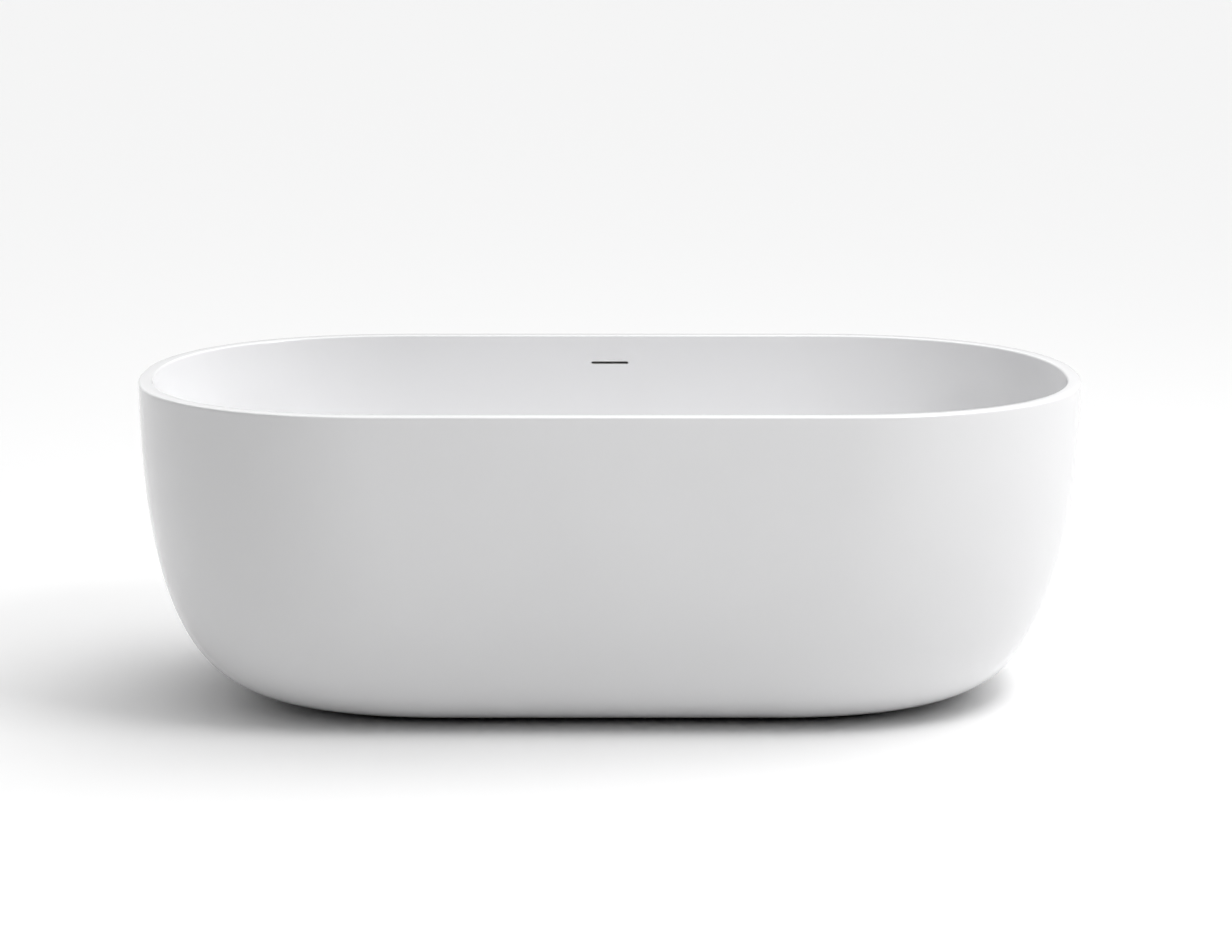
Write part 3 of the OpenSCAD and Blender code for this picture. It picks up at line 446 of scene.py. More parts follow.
def thread_tree():
    """A threaded rod with a V thread whose crests and ends are chamfered."""
    sizes = {"Columns": 24, "Rows": 100, "Crest": 0.006, "Root": 0.005}
    sizes |= {"Pitch": 0.002, "Bottom": 0.0, "Length": 0.1}
    tree, given = new_tree("screw_thread", **sizes)
    mesh, row, turn = wrapped_grid(tree, given["Rows"], given["Columns"], 0.0)
    last = add(tree, MATH, given["Rows"], 1.0, operation="SUBTRACT")
    inner = add(tree, MATH, last, 2.0, operation="SUBTRACT")
    up = add(tree, MATH, row, 1.0, operation="SUBTRACT")
    share = add(tree, MATH, up, inner, operation="DIVIDE", use_clamp=True)
    along = add(tree, MATH, share, given["Length"], operation="MULTIPLY")
    turns = add(tree, MATH, turn, math.tau, operation="DIVIDE")
    phase = add(tree, MATH, along, given["Pitch"], operation="DIVIDE")
    phase = add(tree, MATH, add(tree, MATH, phase, turns, operation="SUBTRACT"), 64.0, operation="ADD")
    wave = add(tree, MATH, add(tree, MATH, phase, 0.5, operation="PINGPONG"), 2.0, operation="MULTIPLY")
    cut_in = add(tree, "ShaderNodeMapRange", wave, 0.12, 0.88, given["Root"], given["Crest"])
    rest = add(tree, MATH, given["Length"], along, operation="SUBTRACT")
    near = add(tree, MATH, along, rest, operation="MINIMUM")
    chamfer = add(tree, MATH, given["Root"], 0.96, near, operation="MULTIPLY_ADD")
    radius = add(tree, MATH, cut_in, chamfer, operation="MINIMUM")
    ends = add(tree, MATH, up, -0.5, operation="GREATER_THAN")
    tops = add(tree, MATH, row, add(tree, MATH, last, 0.5, operation="SUBTRACT"), operation="LESS_THAN")
    inside = add(tree, MATH, ends, tops, operation="MULTIPLY")
    radius = add(tree, MATH, radius, inside, operation="MULTIPLY")
    x = add(tree, MATH, add(tree, MATH, turn, operation="COSINE"), radius, operation="MULTIPLY")
    y = add(tree, MATH, add(tree, MATH, turn, operation="SINE"), radius, operation="MULTIPLY")
    z = add(tree, MATH, along, given["Bottom"], operation="ADD")
    place = add(tree, "ShaderNodeCombineXYZ", x, y, z)
    placed = add(tree, "GeometryNodeSetPosition", mesh, named={"Position": place})
    return closed_end(tree, placed, given["Finish"])


def set_out_tree():
    """Puts a copy of a part at each marked point, turned as the point says."""
    tree, given = new_tree("set_out")
    tree.interface.new_socket("Part", in_out="INPUT", socket_type="NodeSocketObject")
    part = add(tree, "GeometryNodeObjectInfo", given["Part"])
    turn = add(tree, "GeometryNodeInputNamedAttribute", "turn", data_type="FLOAT")
    turned = add(tree, "ShaderNodeCombineXYZ", 0.0, 0.0, turn)
    marks = add(tree, "GeometryNodeMeshToPoints", given["Base"])
    named = {"Instance": part.outputs["Geometry"], "Rotation": turned}
    copies = add(tree, "GeometryNodeInstanceOnPoints", marks, named=named)
    whole = add(tree, "GeometryNodeRealizeInstances", copies)
    done = add(tree, "GeometryNodeSetMaterial", whole, named={"Material": given["Finish"]})
    add(tree, "NodeGroupOutput", done)
    return tree


def hose_tree():
    """A ribbed hose along a path, with a plain cuff at each end."""
    sizes = {"Radius": 0.013, "Groove": 0.0014, "Pitch": 0.004, "Cuff": 0.024, "Around": 28}
    tree, given = new_tree("ribbed_hose", **sizes)
    line = add(tree, "GeometryNodeMeshToCurve", given["Base"])
    length = add(tree, "GeometryNodeCurveLength", line)
    step = add(tree, MATH, given["Pitch"], 6.0, operation="DIVIDE")
    count = add(tree, MATH, length, step, operation="DIVIDE")
    fine = add(tree, "GeometryNodeResampleCurve", line, named={"Count": count})
    along = add(tree, "GeometryNodeSplineParameter").outputs["Length"]
    ring = add(tree, MATH, along, given["Pitch"], operation="DIVIDE")
    wave = add(tree, MATH, add(tree, MATH, ring, math.tau, operation="MULTIPLY"), operation="COSINE")
    wave = add(tree, "ShaderNodeMapRange", wave, -0.6, 0.6, 0.0, given["Groove"])
    rest = add(tree, MATH, length, along, operation="SUBTRACT")
    near = add(tree, MATH, along, rest, operation="MINIMUM")
    ribbed = add(tree, MATH, near, given["Cuff"], operation="GREATER_THAN")
    cut_in = add(tree, MATH, wave, ribbed, operation="MULTIPLY")
    radius = add(tree, MATH, given["Radius"], cut_in, operation="SUBTRACT")
    section = add(tree, "GeometryNodeCurvePrimitiveCircle", given["Around"], named={"Radius": 1.0})
    skin = add(tree, "GeometryNodeCurveToMesh", fine, section.outputs["Curve"], named={"Scale": radius})
    return closed_end(tree, skin, given["Finish"])


def band_tree():
    """A clamp band: a strip bent round, with slots pressed through its middle row."""
    sizes = {"Columns": 90, "Radius": 0.0131, "Height": 0.009, "Span": 290.0}
    tree, given = new_tree("slotted_band", **sizes)
    lines = add(tree, MATH, given["Columns"], 1.0, operation="ADD")
    grid = add(tree, "GeometryNodeMeshGrid", 1.0, 1.0, lines, 6)
    cell = add(tree, "GeometryNodeInputIndex")
    column = add(tree, MATH, add(tree, MATH, cell, 5.0, operation="DIVIDE"), operation="FLOOR")
    row = add(tree, MATH, cell, 5.0, operation="MODULO")
    third = add(tree, MATH, column, 3.0, operation="MODULO")
    slot_here = add(tree, MATH, third, 1.0, 0.1, operation="COMPARE")
    middle = add(tree, MATH, row, 2.0, 1.1, operation="COMPARE")
    gone = add(tree, MATH, slot_here, middle, operation="MULTIPLY")
    strip = add(tree, "GeometryNodeDeleteGeometry", grid.outputs["Mesh"], gone, domain="FACE")
    spot = add(tree, "ShaderNodeSeparateXYZ", add(tree, "GeometryNodeInputPosition"))
    span = add(tree, MATH, given["Span"], math.pi / 180, operation="MULTIPLY")
    turn = add(tree, MATH, spot.outputs["X"], span, math.pi, operation="MULTIPLY_ADD")
    x = add(tree, MATH, add(tree, MATH, turn, operation="COSINE"), given["Radius"], operation="MULTIPLY")
    y = add(tree, MATH, add(tree, MATH, turn, operation="SINE"), given["Radius"], operation="MULTIPLY")
    z = add(tree, MATH, spot.outputs["Y"], given["Height"], operation="MULTIPLY")
    place = add(tree, "ShaderNodeCombineXYZ", x, y, z)
    placed = add(tree, "GeometryNodeSetPosition", strip, named={"Position": place})
    return closed_end(tree, placed, given["Finish"])


LOFT, THREAD, SET_OUT, HOSE, BAND = loft_tree(), thread_tree(), set_out_tree(), hose_tree(), band_tree()


def grown(name, base, tree, wall=None, **inputs):
    """The plain mesh that a tree makes from a base mesh and named inputs, with a wall if asked."""
    holder = bpy.data.objects.new(name, base)
    bpy.context.scene.collection.objects.link(holder)
    modifier = holder.modifiers.new("grow", "NODES")
    modifier.node_group = tree
    for item in tree.interface.items_tree:
        if item.in_out == "INPUT" and item.name in inputs:
            modifier[item.identifier] = inputs[item.name]
    if wall:
        skin = holder.modifiers.new("wall", "SOLIDIFY")
        skin.thickness, skin.offset, skin.use_even_offset = wall * MM, -1, True
    return plain(holder, name)


def plain(holder, name, sharp=35):
    """Turns an object and its modifiers into one plain mesh, smooth but for its edges."""
    bpy.context.view_layer.update()
    graph = bpy.context.evaluated_depsgraph_get()
    mesh = bpy.data.meshes.new_from_object(holder.evaluated_get(graph))
    bpy.data.objects.remove(holder)
    mesh.name = name
    smooth(mesh, sharp)
    return mesh


def smooth(mesh, sharp=35):
    mesh.polygons.foreach_set("use_smooth", [True] * len(mesh.polygons))
    mesh.set_sharp_from_angle(angle=math.radians(sharp))


def outward(mesh, sharp=35):
    """The mesh with its faces turned to face out."""
    work = bmesh.new()
    work.from_mesh(mesh)
    bmesh.ops.recalc_face_normals(work, faces=work.faces)
    work.to_mesh(mesh)
    work.free()
    smooth(mesh, sharp)
    return mesh


def marked(name, points, **marks):
    """A mesh of loose points, in millimetres, that carry named numbers."""
    base = bpy.data.meshes.new(name)
    base.from_pydata([[v * MM for v in p] for p in points], [], [])
    for key, values in marks.items():
        base.attributes.new(key, "FLOAT", "POINT").data.foreach_set("value", [float(v) for v in values])
    return base


def loft(name, rows, finish, columns=192, sharp=40, start=0.5, closed=True):
    """A closed skin through the rows; a ring-shaped one joins its last row to its first."""
    rows = np.array([*rows, rows[0]] if closed else rows, float)
    rows[:, [0, 1, 2, 4, 5]] *= MM
    keys = ("half_length", "half_width", "straight", "roundness", "height", "flats")
    marks = {key: rows[:, i] for i, key in enumerate(keys)}
    base = marked(name, [(i, 0, 0) for i in range(len(rows))], **marks)
    sizes = {"Columns": columns, "Rows": len(rows), "Start": start, "Finish": finish}
    return outward(grown(name, base, LOFT, **sizes), sharp)


def turned(name, outline, finish, columns=72, **more):
    """A turned part about Z from (radius, height) pairs, with a third number for half across flats."""
    return loft(name, [disc_row(*p) for p in outline], finish, columns, sharp=more.pop("sharp", 32), **more)


def thread(name, radius, root, pitch, low, high, finish, rows_per_turn=6):
    rows = round((high - low) / pitch * rows_per_turn) + 3
    sizes = {"Rows": rows, "Crest": radius * MM, "Root": root * MM, "Pitch": pitch * MM}
    sizes |= {"Bottom": low * MM, "Length": (high - low) * MM, "Finish": finish}
    return outward(grown(name, marked(name, [(0, 0, 0)]), THREAD, **sizes))


def hex_outline(across, low, high, bore):
    """A nut or bolt head: spanner flats with both faces chamfered at 30 degrees."""
    flat = across / 2
    corner = flat / math.cos(math.radians(30))
    rise = (corner - 0.95 * flat) * math.tan(math.radians(30))
    steps = [(0.95 * flat + (corner - 0.95 * flat) * k, rise * k) for k in (0, 0.35, 0.7, 1)]
    rows = [(r, low + h, flat) for r, h in steps] + [(r, high - h, flat) for r, h in reversed(steps)]
    if bore:
        lead = min(0.6, (high - low) / 6)
        return [(bore, low + lead), (bore + lead, low), *rows, (bore + lead, high), (bore, high - lead)]
    return [(0, low), *rows, (0, high)]


def joined(name, *meshes):
    """One mesh from several, which keep their materials."""
    work = bmesh.new()
    finishes = []
    for mesh in meshes:
        first = len(work.faces)
        work.from_mesh(mesh)
        work.faces.ensure_lookup_table()
        finish = mesh.materials[0]
        if finish not in finishes:
            finishes.append(finish)
        for face in work.faces[first:]:
            face.material_index = finishes.index(finish)
    whole = bpy.data.meshes.new(name)
    work.to_mesh(whole)
    work.free()
    for finish in finishes:
        whole.materials.append(finish)
    return whole


def moved(mesh, x, y, z=0.0, turn=0.0):
    """A copy of the mesh turned about Z by degrees, then moved by millimetres."""
    copy = mesh.copy()
    to_place = Matrix.Translation((x * MM, y * MM, z * MM))
    copy.transform(to_place @ Matrix.Rotation(math.radians(turn), 4, "Z"))
    return copy


def set_out(name, part, places, finish):
    """The part's mesh repeated at places of (x, y, z, degrees)."""
    holder = bpy.data.objects.new(name + "_part", part)
    bpy.context.scene.collection.objects.link(holder)
    base = marked(name, [p[:3] for p in places], turn=[math.radians(p[3]) for p in places])
    mesh = grown(name, base, SET_OUT, Part=holder, Finish=finish)
    bpy.data.objects.remove(holder)
    return mesh


def piece(name, mesh, body, slot_name, *stands_for):
    made = bpy.data.objects.new(name, mesh)
    bpy.context.scene.collection.objects.link(made)
    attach(made, body)
    if stands_for:
        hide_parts(*stands_for)
    return made


def eased(n, bias):
    """n + 1 shares from 0 to 1, closer together towards 1."""
    return [1 - (1 - i / n) ** bias for i in range(n + 1)]


def corner_arc(d, z, start, stop, r=RIM_EDGE, n=6):
    """Rim rows round a corner's centre (d, z), by angle in degrees from straight up towards the basin."""
    spots = np.radians(np.linspace(start, stop, n + 1))
    return [rim_row(d + r * math.sin(a), z + r * math.cos(a)) for a in spots]


def blank(name, low, high):
    """A plain block in millimetres, for cutting with or for bevelling."""
    work = bmesh.new()
    bmesh.ops.create_cube(work, size=1)
    for v in work.verts:
        v.co = [(lo + (hi - lo) * (c + 0.5)) * MM for c, lo, hi in zip(v.co, low, high)]
    mesh = bpy.data.meshes.new(name)
    work.to_mesh(mesh)
    work.free()
    return mesh


def cut(mesh, *cutters):
    """The mesh less the cutters, as a plain mesh."""
    for cutter_mesh in cutters:
        whole = bpy.data.objects.new("cut", mesh)
        cutter = bpy.data.objects.new("cutter", cutter_mesh)
        for o in (whole, cutter):
            bpy.context.scene.collection.objects.link(o)
        work = whole.modifiers.new("cut", "BOOLEAN")
        work.operation, work.solver, work.object = "DIFFERENCE", "EXACT", cutter
        mesh = plain(whole, mesh.name, 40)
        bpy.data.objects.remove(cutter)
    return mesh


def softened(node, finish, width):
    """A copy of a CAD node with its edges broken by a small bevel, in millimetres."""
    work = bmesh.new()
    work.from_mesh(nodes[node].data)
    bmesh.ops.remove_doubles(work, verts=work.verts, dist=1e-6)
    bmesh.ops.dissolve_limit(work, angle_limit=math.radians(0.5), verts=work.verts, edges=work.edges)
    mesh = bpy.data.meshes.new(node)
    work.to_mesh(mesh)
    work.free()
    mesh.materials.append(finish)
    holder = bpy.data.objects.new(node, mesh)
    bpy.context.scene.collection.objects.link(holder)
    if width:
        edge = holder.modifiers.new("edge", "BEVEL")
        edge.width, edge.segments, edge.limit_method = width * MM, 2, "ANGLE"
        edge.angle_limit = math.radians(40)
        edge.harden_normals = False
    return plain(holder, node, 35)


# ---- acrylic shells and their backing ----------------------------------------

wall_shares = eased(56, 2.0)
basin_rows = [disc_row(HOLE_R, RECESS_Z - WALL), disc_row(RECESS_R + WALL, RECESS_Z - WALL)]
basin_rows += [disc_row(RECESS_R + RECESS_DEPTH + 2 + WALL, FLOOR_Z - WALL)]
basin_rows += [basin_row(v, WALL) for v in reversed(wall_shares)]
basin_rows += [rim_row(WALL, RIM_Z - RIM_EDGE), rim_row(WALL, RIM_Z - LIP), rim_row(0, RIM_Z - LIP)]
basin_rows += corner_arc(RIM_EDGE, RIM_Z - RIM_EDGE, -90, 0)
basin_rows += corner_arc(RIM_WIDTH - RIM_EDGE, RIM_Z - RIM_EDGE, 0, 90)[:-1]
basin_rows += [basin_row(v) for v in wall_shares]
for k in np.linspace(0, 1, 9):
    ease = k * k * (3 - 2 * k)
    basin_rows.append(disc_row(RECESS_R + (RECESS_DEPTH + 2) * (1 - k), FLOOR_Z - RECESS_DEPTH * ease))
basin_rows.append(disc_row(HOLE_R, RECESS_Z))

# The overflow slot has round ends
slot_end = SLOT_HEIGHT / 2
slot_half = SLOT_LENGTH / 2 - slot_end
arc = np.radians(np.linspace(-90, 90, 17))
outline = [(slot_half + slot_end * math.cos(a), slot_end * math.sin(a)) for a in arc]
outline += [(-x, -z) for x, z in outline]
work = bmesh.new()
slot_z = RIM_Z - SLOT_DROP
front, back = (
    [work.verts.new((x * MM, (HALF_W - RIM_WIDTH + out) * MM, (slot_z + z) * MM)) for x, z in outline]
    for out in (-25, 10)
)
work.faces.new(front)
work.faces.new(back)
for i in range(len(front)):
    j = (i + 1) % len(front)
    work.faces.new((front[j], front[i], back[i], back[j]))
bmesh.ops.recalc_face_normals(work, faces=work.faces)
slot_tool = bpy.data.meshes.new("slot_tool")
work.to_mesh(slot_tool)
work.free()

piece("basin", cut(loft("basin", basin_rows, acrylic), slot_tool), "tub", "acrylic", "basin_shell")

skirt_top = LIP / (RIM_Z - SKIRT_FOOT)
skirt_shares = [skirt_top + (1 - skirt_top) * k for k in eased(72, 2.2)]
rows = [skirt_row(u) for u in reversed(skirt_shares)] + [skirt_row(u, WALL) for u in skirt_shares]
piece("skirt", loft("skirt", rows, acrylic), "tub", "acrylic", "outer_skirt")

outer = WALL + BASIN_LAM
bed = disc_row(RECESS_R + RECESS_DEPTH + 2 + WALL + 3, RECESS_Z - WALL)
foot_row = basin_row(1, outer)
bed_edge = (foot_row[0] - 25, foot_row[1] - 18, foot_row[2] - 15, foot_row[3], RECESS_Z - WALL, ROUND)
rows = [disc_row(HOLE_R, RECESS_Z - outer), disc_row(RECESS_R + outer, RECESS_Z - outer), bed, bed_edge]
rows += [basin_row(v, outer) for v in reversed(wall_shares)]
rows += [basin_row(v, WALL + 0.05) for v in wall_shares]
rows += [disc_row(RECESS_R + RECESS_DEPTH + 2 + WALL, FLOOR_Z - WALL - 0.05)]
rows += [disc_row(RECESS_R + WALL, RECESS_Z - WALL - 0.05), disc_row(HOLE_R, RECESS_Z - WALL - 0.05)]
box_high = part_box("overflow_box")[1] / MM
window_high = (box_high.x + 3, HALF_W, box_high.z + 3)
window = blank("window", (-box_high.x - 3, HALF_W - 70, WINDOW_FOOT), window_high)
piece("basin_backing", cut(loft("basin_backing", rows, laminate), window), "tub", "grp", "basin_laminate")

rows = [skirt_row(u, WALL + 0.05) for u in reversed(skirt_shares)]
rows += [skirt_row(u, WALL + SKIRT_LAM) for u in skirt_shares]
piece("skirt_backing", loft("skirt_backing", rows, laminate), "tub", "grp", "skirt_laminate")

# ---- frame and its fixings ------------------------------------------------------

foot_low, foot_high = (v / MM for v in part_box("pad_rear_right"))
CROSS_X, FOOT_Y = (foot_low.x + foot_high.x) / 2, (foot_low.y + foot_high.y) / 2
rail_low, rail_high = (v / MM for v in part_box("rail_rear"))
RAIL_Y = (rail_low.y + rail_high.y) / 2
FRAME_Z, RAIL_Z, BOARD_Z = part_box("cross_left")[0].z / MM, rail_low.z, rail_high.z
BRACKET_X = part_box("skirt_brackets")[1].x / MM - BRACKET_W / 2
feet = [(sx * CROSS_X, sy * FOOT_Y, 0, 30) for sx in (-1, 1) for sy in (-1, 1)]
crossings = [(sx * CROSS_X, sy * RAIL_Y, 0, 17 * sx) for sx in (-1, 1) for sy in (-1, 1)]
bracket_spots = [(sx * BRACKET_X, sy * RAIL_Y, 0, 8 * sy) for sx in (-1, 1) for sy in (-1, 1)]


def nuts(node, across, low, high, bore, places, finish, slot_name):
    one = turned(node, hex_outline(across, low, high, bore), finish, 24, start=0)
    piece(node + "_chamfered", set_out(node, one, places, finish), "tub", slot_name, node)


def bolts(node, size, across, head, length, under, pitch, places):
    """Hex bolts pointing up, with their heads under the height given."""
    head_mesh = turned(node, hex_outline(across, under - head, under, 0), zinc, 24, start=0, closed=False)
    shank = thread(node, size / 2, size / 2 - 0.6 * pitch, pitch, under - 0.5, under + length, zinc, 4)
    set_of = set_out(node, joined(node, head_mesh, shank), places, zinc)
    piece(node + "_threaded", set_of, "tub", "zinc", node)


nuts("frame_nuts", 13, RAIL_Z + TUBE_T, RAIL_Z + TUBE_T + 6.4, 3.9, crossings, zinc, "zinc")
nuts("bracket_nuts", 10.02, RAIL_Z + TUBE_T, RAIL_Z + TUBE_T + 4.98, 2.9, bracket_spots, zinc, "zinc")
nuts("weld_nuts", 18, RAIL_Z, RAIL_Z + 10, 6.0, feet, galvanised, "galvanised")
nuts("lock_nuts", 18, FRAME_Z - 7, FRAME_Z, 6.0, feet, zinc, "zinc")
bolts("frame_bolts", 8, 13, 5.28, TUBE_W + TUBE_T + 10, FRAME_Z, 1.25, crossings)
bolts("bracket_bolts", 6, 10.02, 4.02, BRACKET_T + TUBE_T + 10, RAIL_Z - BRACKET_T, 1.0, bracket_spots)

for node, finish, slot_name, width in (
    ("rail_front", galvanised, "galvanised", 0.25),
    ("rail_rear", galvanised, "galvanised", 0.25),
    ("cross_left", galvanised, "galvanised", 0.25),
    ("cross_right", galvanised, "galvanised", 0.25),
    ("skirt_brackets", galvanised, "galvanised", 0.5),
    ("tube_caps", cap_plastic, "black_plastic", 0.5),
    ("base_board", birch_ply, "plywood", 0.8),
    ("bond_pads", filled_adhesive, "adhesive", 0.6),
    ("rim_bond", filled_adhesive, "adhesive", 0),
    ("board_screws", zinc, "zinc", 0.3),
    ("waste_body", abs_white, "abs", 0.6),
    ("tail_nut", abs_white, "abs", 0.6),
    ("tailpiece", abs_white, "abs", 0.4),
    ("overflow_box", abs_white, "abs", 0.8),
    ("flange_gasket", seal_rubber, "rubber", 0.25),
    ("waste_gasket", seal_rubber, "rubber", 0.5),
    ("tail_washer", seal_rubber, "rubber", 0.4),
    ("plug_guide", turned_brass, "brass", 0.3),
):
    piece(node + "_finished", softened(node, finish, width), "tub", slot_name, node)

# ---- levelling feet ----------------------------------------------------------------

pad_top = 12
hub_r = 11
pad_outline = [(0, 1.2), (9, 1.2), (9.6, 0), (12.4, 0), (13, 1.2)]
pad_outline += [(16.2, 1.2), (16.8, 0), (19.6, 0), (20.2, 1.2)]
pad_outline += [(22, 1.2), (22.6, 0), (24.2, 0), (25, 0.8)]
pad_outline += [(25, 3.2), (24.6, 3.8), (23.8, 4.1), (21.5, 4.7)]
pad_outline += [(hub_r + 1.2, 8.6), (hub_r + 0.3, 9.4), (hub_r, 10.2)]
pad_outline += [(hub_r, pad_top - 0.8), (hub_r - 0.8, pad_top)]
pad_outline += [(4.7, pad_top), (4.05, pad_top - 0.6), (4.05, 5), (0, 5)]
rib = bmesh.new()
profile = [(hub_r - 0.5, 7.5), (hub_r - 0.5, pad_top - 1.4), (hub_r + 0.6, pad_top - 1.6)]
profile += [(22.8, 5.6), (23.6, 4.8), (23.6, 3.6)]
sides = [[rib.verts.new((x * MM, y * MM, z * MM)) for x, z in profile] for y in (-0.8, 0.8)]
for ring_of in sides:
    rib.faces.new(ring_of)
for i in range(len(profile)):
    j = (i + 1) % len(profile)
    rib.faces.new((sides[0][i], sides[0][j], sides[1][j], sides[1][i]))
bmesh.ops.recalc_face_normals(rib, faces=rib.faces)
rib_mesh = bpy.data.meshes.new("pad_rib")
rib.to_mesh(rib_mesh)
rib.free()
rib_mesh.materials.append(foot_rubber)
ribs = set_out("pad_ribs", rib_mesh, [(0, 0, 0, 15 + 30 * i) for i in range(12)], foot_rubber)
pad = joined("pad", turned("pad", pad_outline, foot_rubber, 64, closed=False), ribs)

stud_hex = hex_outline(16.2 * math.cos(math.radians(30)), pad_top + 0.2, pad_top + 6.2, 0)
hexagon = turned("stud_hexagon", stud_hex, zinc, 24, start=0, closed=False)
pin_outline = [(0, 5.2), (3.4, 5.2), (4, 5.8), (4, pad_top + 0.6), (0, pad_top + 0.6)]
pin = turned("stud_pin", pin_outline, zinc, 32, closed=False)
shank = thread("stud_thread", 5.95, 4.95, 1.75, pad_top + 5, BOARD_Z - 6, zinc)
stud = joined("stud", hexagon, pin, shank)
for place in ("front_left", "front_right", "rear_left", "rear_right"):
    x = CROSS_X if "right" in place else -CROSS_X
    y = FOOT_Y if "rear" in place else -FOOT_Y
    piece("foot_pad_" + place, moved(pad, x, y), "foot_" + place, "foot_rubber", "pad_" + place)
    piece("foot_stud_" + place, moved(stud, x, y), "screw_" + place, "zinc", "stud_" + place)

# ---- waste and click plug --------------------------------------------------------

SEAT_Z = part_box("waste_flange")[1].z / MM
TUBE_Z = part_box("waste_flange")[0].z / MM
FLANGE_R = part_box("waste_flange")[1].x / MM
TUBE_R, BORE_R = 23.8, 20.5
hub_z = SEAT_Z - 26
flange = [(BORE_R, TUBE_Z + 0.6), (BORE_R + 0.6, TUBE_Z)]
flange += [(TUBE_R - 0.8, TUBE_Z), (TUBE_R - 0.2, TUBE_Z + 0.6)]
for i in range(12):
    z = TUBE_Z + 1.2 + 2 * i
    flange += [(TUBE_R - 0.1, z), (TUBE_R - 0.8, z + 0.7), (TUBE_R - 0.8, z + 1.0), (TUBE_R - 0.1, z + 1.7)]
flange += [(TUBE_R, SEAT_Z - 16), (TUBE_R, SEAT_Z - 2)]
flange += [(FLANGE_R - 0.3, SEAT_Z - 2), (FLANGE_R, SEAT_Z - 1.7)]
flange += [(FLANGE_R, SEAT_Z - 1), (FLANGE_R - 0.25, SEAT_Z - 0.5)]
flange += [(FLANGE_R - 0.8, SEAT_Z - 0.12), (FLANGE_R - 1.6, SEAT_Z)]
flange += [(BORE_R + 4.4, SEAT_Z), (BORE_R + 3.6, SEAT_Z - 0.3)]
flange += [(BORE_R + 2.6, SEAT_Z - 1.2), (BORE_R + 0.7, SEAT_Z - 3.4)]
flange += [(BORE_R, SEAT_Z - 4.4)]
hub = [(7.02, hub_z + 0.4), (7.4, hub_z), (9, hub_z)]
hub += [(9.5, hub_z + 0.5), (9.5, hub_z + 5.5), (9, hub_z + 6)]
hub += [(7.4, hub_z + 6), (7.02, hub_z + 5.6)]
arm = blank("arm", (8.5, -2, hub_z), (BORE_R + 0.4, 2, hub_z + 6))
arm.materials.append(chrome)
arms = set_out("waste_arms", arm, [(0, 0, 0, 45 + 90 * i) for i in range(4)], chrome)
bright = [turned("waste", flange, chrome, 128), turned("waste_hub", hub, chrome, 64), arms]
piece("waste_with_cross", joined("waste_with_cross", *bright), "tub", "chrome", "waste_flange")

cap_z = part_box("plug_cap")[0].z / MM + 5
cap_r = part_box("plug_cap")[1].x / MM
crown = [(cap_r - 1.5) * k for k in np.linspace(1, 0, 14)]
cap = [(0, cap_z + 2.5), (3, cap_z + 2.5), (3, cap_z - 4.6)]
cap += [(3.4, cap_z - 5), (6.4, cap_z - 5), (7, cap_z - 4.4)]
cap += [(7, cap_z), (cap_r - 0.5, cap_z)]
cap += [(cap_r, cap_z + 0.4), (cap_r, cap_z + 1.7)]
cap += [(cap_r - 0.15, cap_z + 2.3), (cap_r - 0.6, cap_z + 2.9)]
cap += [(r, cap_z + 3.2 + 2.6 * (1 - (r / (cap_r - 1.5)) ** 2)) for r in crown]
cap_mesh = turned("plug_cap", cap, chrome, 128, sharp=50, closed=False)
piece("plug_cap_polished", cap_mesh, "plug", "chrome", "plug_cap")

seal_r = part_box("plug_seal")[1].x / MM
seal = [(8, cap_z - 0.3), (8, cap_z - 1.4), (seal_r - 2.4, cap_z - 1.5)]
seal += [(seal_r - 0.4, cap_z - 1.35), (seal_r, cap_z - 0.9)]
seal += [(seal_r - 0.3, cap_z - 0.3), (seal_r - 1.2, cap_z - 0.02), (8.4, cap_z - 0.02)]
piece("plug_seal_moulded", turned("plug_seal", seal, seal_rubber, 96), "plug", "rubber", "plug_seal")

stem_low, stem_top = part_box("plug_stem")[0].z / MM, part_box("plug_stem")[1].z / MM
collar = SEAT_Z - 33
stem = [(0, stem_low), (1.9, stem_low), (2.2, stem_low + 0.3)]
stem += [(2.2, collar), (4.7, collar), (5, collar + 0.3)]
stem += [(5, collar + 1.7), (4.7, collar + 2), (3, collar + 2)]
stem += [(3, stem_top - 0.4), (2.6, stem_top), (0, stem_top)]
stem_mesh = turned("plug_stem", stem, turned_brass, 40, closed=False)
piece("plug_stem_turned", stem_mesh, "plug", "brass", "plug_stem")

# ---- overflow hose and its clamps ---------------------------------------------------


def wall_y(rows, z):
    """The Y of a side wall at height z, read off its profile rows."""
    pairs = sorted((row[4], row[1]) for row in rows)
    return float(np.interp(z, [p[0] for p in pairs], [p[1] for p in pairs]))


skirt_in = [skirt_row(u, WALL + SKIRT_LAM) for u in skirt_shares]
basin_out = [basin_row(v, outer) for v in wall_shares]
upper = [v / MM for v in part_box("hose_clamp_upper")]
lower = [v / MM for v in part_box("hose_clamp_lower")]
upper_y, upper_z = (upper[0].y + upper[1].y) / 2, (upper[0].z + upper[1].z) / 2
lower_y, branch_z = (lower[0].y + lower[1].y) / 2, (lower[0].z + lower[1].z) / 2
hose_low, hose_high = (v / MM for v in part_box("overflow_hose"))
HOSE_R = hose_high.x
drop_z = upper_z - 13.5
bend_z = branch_z + 73


def hose_y(z):
    """Midway between basin and skirt, but close to the skirt where there is room."""
    out = wall_y(skirt_in, z)
    middle = (out + wall_y(basin_out, z)) / 2 if z > FLOOR_Z + FLOOR_FALL else 0
    return max(middle, out - HOSE_R - 8)


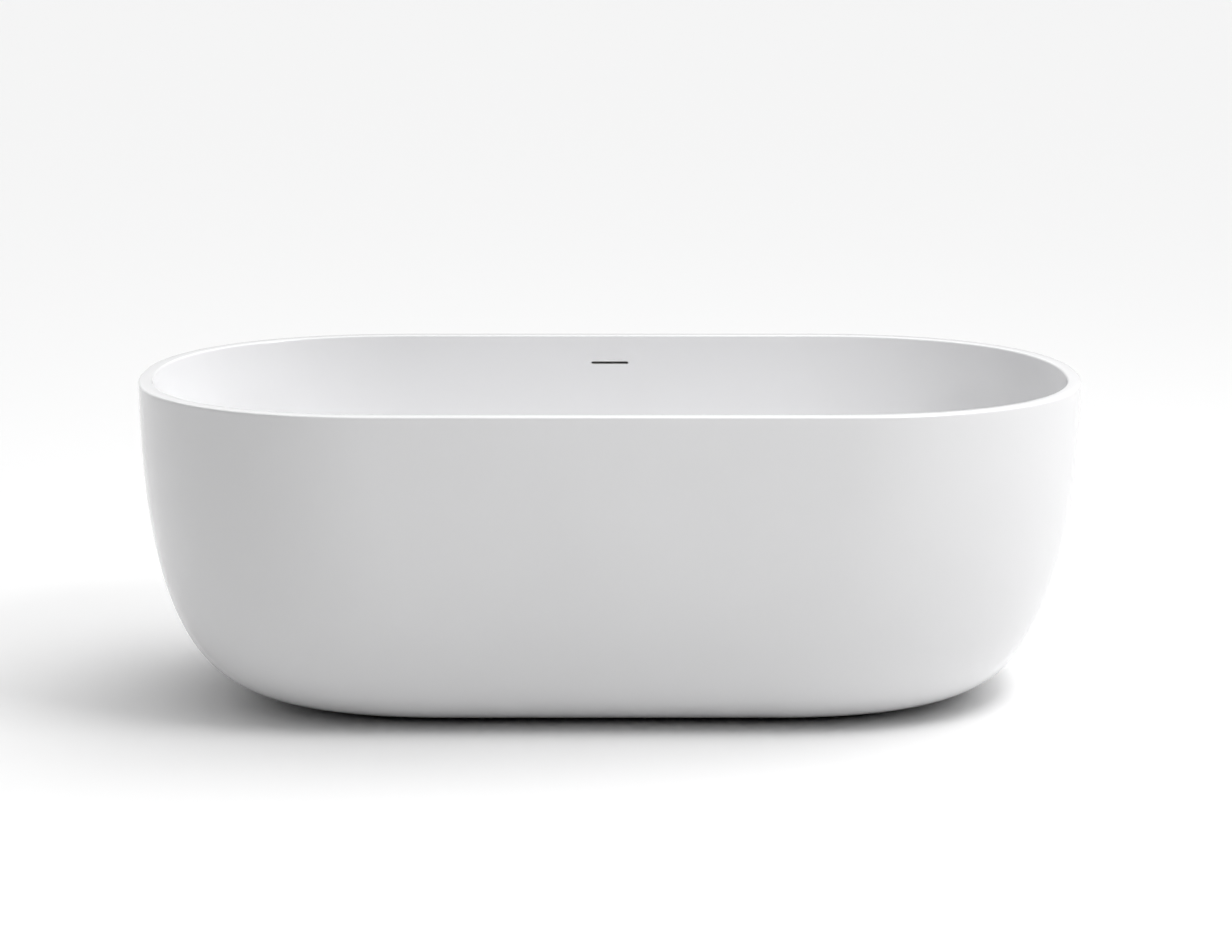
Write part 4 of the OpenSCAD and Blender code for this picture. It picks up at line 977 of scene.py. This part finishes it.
path = [Vector((0, upper_y, hose_high.z)), Vector((0, upper_y, upper_z)), Vector((0, upper_y, drop_z))]
path += [Vector((0, hose_y(z), z)) for z in np.linspace(drop_z, bend_z, 10)[1:]]
bend_y = path[-1].y
lean = Vector((0, hose_y(bend_z + 10) - bend_y, 10)).normalized()
ends = Vector((0, bend_y, bend_z)), Vector((0, bend_y - BEND_RUN, branch_z))
handles = ends[0] - 35 * lean, ends[1] + Vector((0, BEND_RUN / 2, 0))
for k in np.linspace(0, 1, 15)[1:]:
    k = float(k)
    a = ends[0] * (1 - k) ** 3 + handles[0] * 3 * k * (1 - k) ** 2
    path.append(a + handles[1] * 3 * k * k * (1 - k) + ends[1] * k**3)
path.append(Vector((0, hose_low.y, branch_z)))
line = bpy.data.meshes.new("hose_line")
line.from_pydata([p * MM for p in path], [(i, i + 1) for i in range(len(path) - 1)], [])
hose = grown("hose", line, HOSE, wall=HOSE_WALL, Radius=HOSE_R * MM, Finish=hose_plastic)
piece("overflow_hose_ribbed", hose, "tub", "hose_plastic", "overflow_hose")

laid_down = Matrix.Rotation(math.pi / 2, 4, "X")
worm_place = Matrix.Translation(((HOSE_R + CLAMP_T + 2.1) * MM, 0, 0)) @ laid_down


def clamp(name, node, place):
    """A worm clamp: a slotted band with its screw housing on the +X side, turned by place."""
    band_tools = {"Radius": (HOSE_R + CLAMP_T) * MM, "Finish": stainless, "Span": 318.0}
    band = grown(name, marked(name, [(0, 0, 0)]), BAND, wall=0.9, **band_tools)
    tongue = blank("tongue", (HOSE_R - 0.2, -5.5, -4.4), (HOSE_R + CLAMP_T + 0.25, 5.5, 4.4))
    housing = blank("housing", (HOSE_R + CLAMP_T + 0.2, -5.3, -3.9), (HOSE_R + 6, 5.3, 3.9))
    bore = turned("bore", [(0, -8), (1.95, -8), (1.95, 8), (0, 8)], stainless, 24, closed=False)
    bore.transform(worm_place)
    housing = cut(housing, bore)
    for mesh in (tongue, housing):
        mesh.materials.clear()
        mesh.materials.append(stainless)
    made = joined(name, band, tongue, housing)
    made.transform(place)
    piece(name, made, "tub", "stainless", node)


at_upper = Matrix.Translation((0, upper_y * MM, upper_z * MM))
at_lower = Matrix.Translation((0, lower_y * MM, branch_z * MM)) @ laid_down
clamp("hose_clamp_band_upper", "hose_clamp_upper", at_upper)
clamp("hose_clamp_band_lower", "hose_clamp_lower", at_lower)
worm = thread("worm", 1.8, 1.3, 1.2, -7, 6.6, stainless)
head = turned("worm_head", hex_outline(5.7, 6.4, 9.9, 0), stainless, 24, start=0, closed=False)
screw = joined("clamp_screw", worm, head)
screw.transform(worm_place)
pair = [screw.copy(), screw.copy()]
for mesh, place in zip(pair, (at_upper, at_lower)):
    mesh.transform(place)
piece("clamp_worms", joined("clamp_worms", *pair), "tub", "stainless", "clamp_screws")

# ---- CAD pieces that keep their own mesh -----------------------------------------

nodes["plug_spring"].data.materials.clear()
nodes["plug_spring"].data.materials.append(spring_wire)
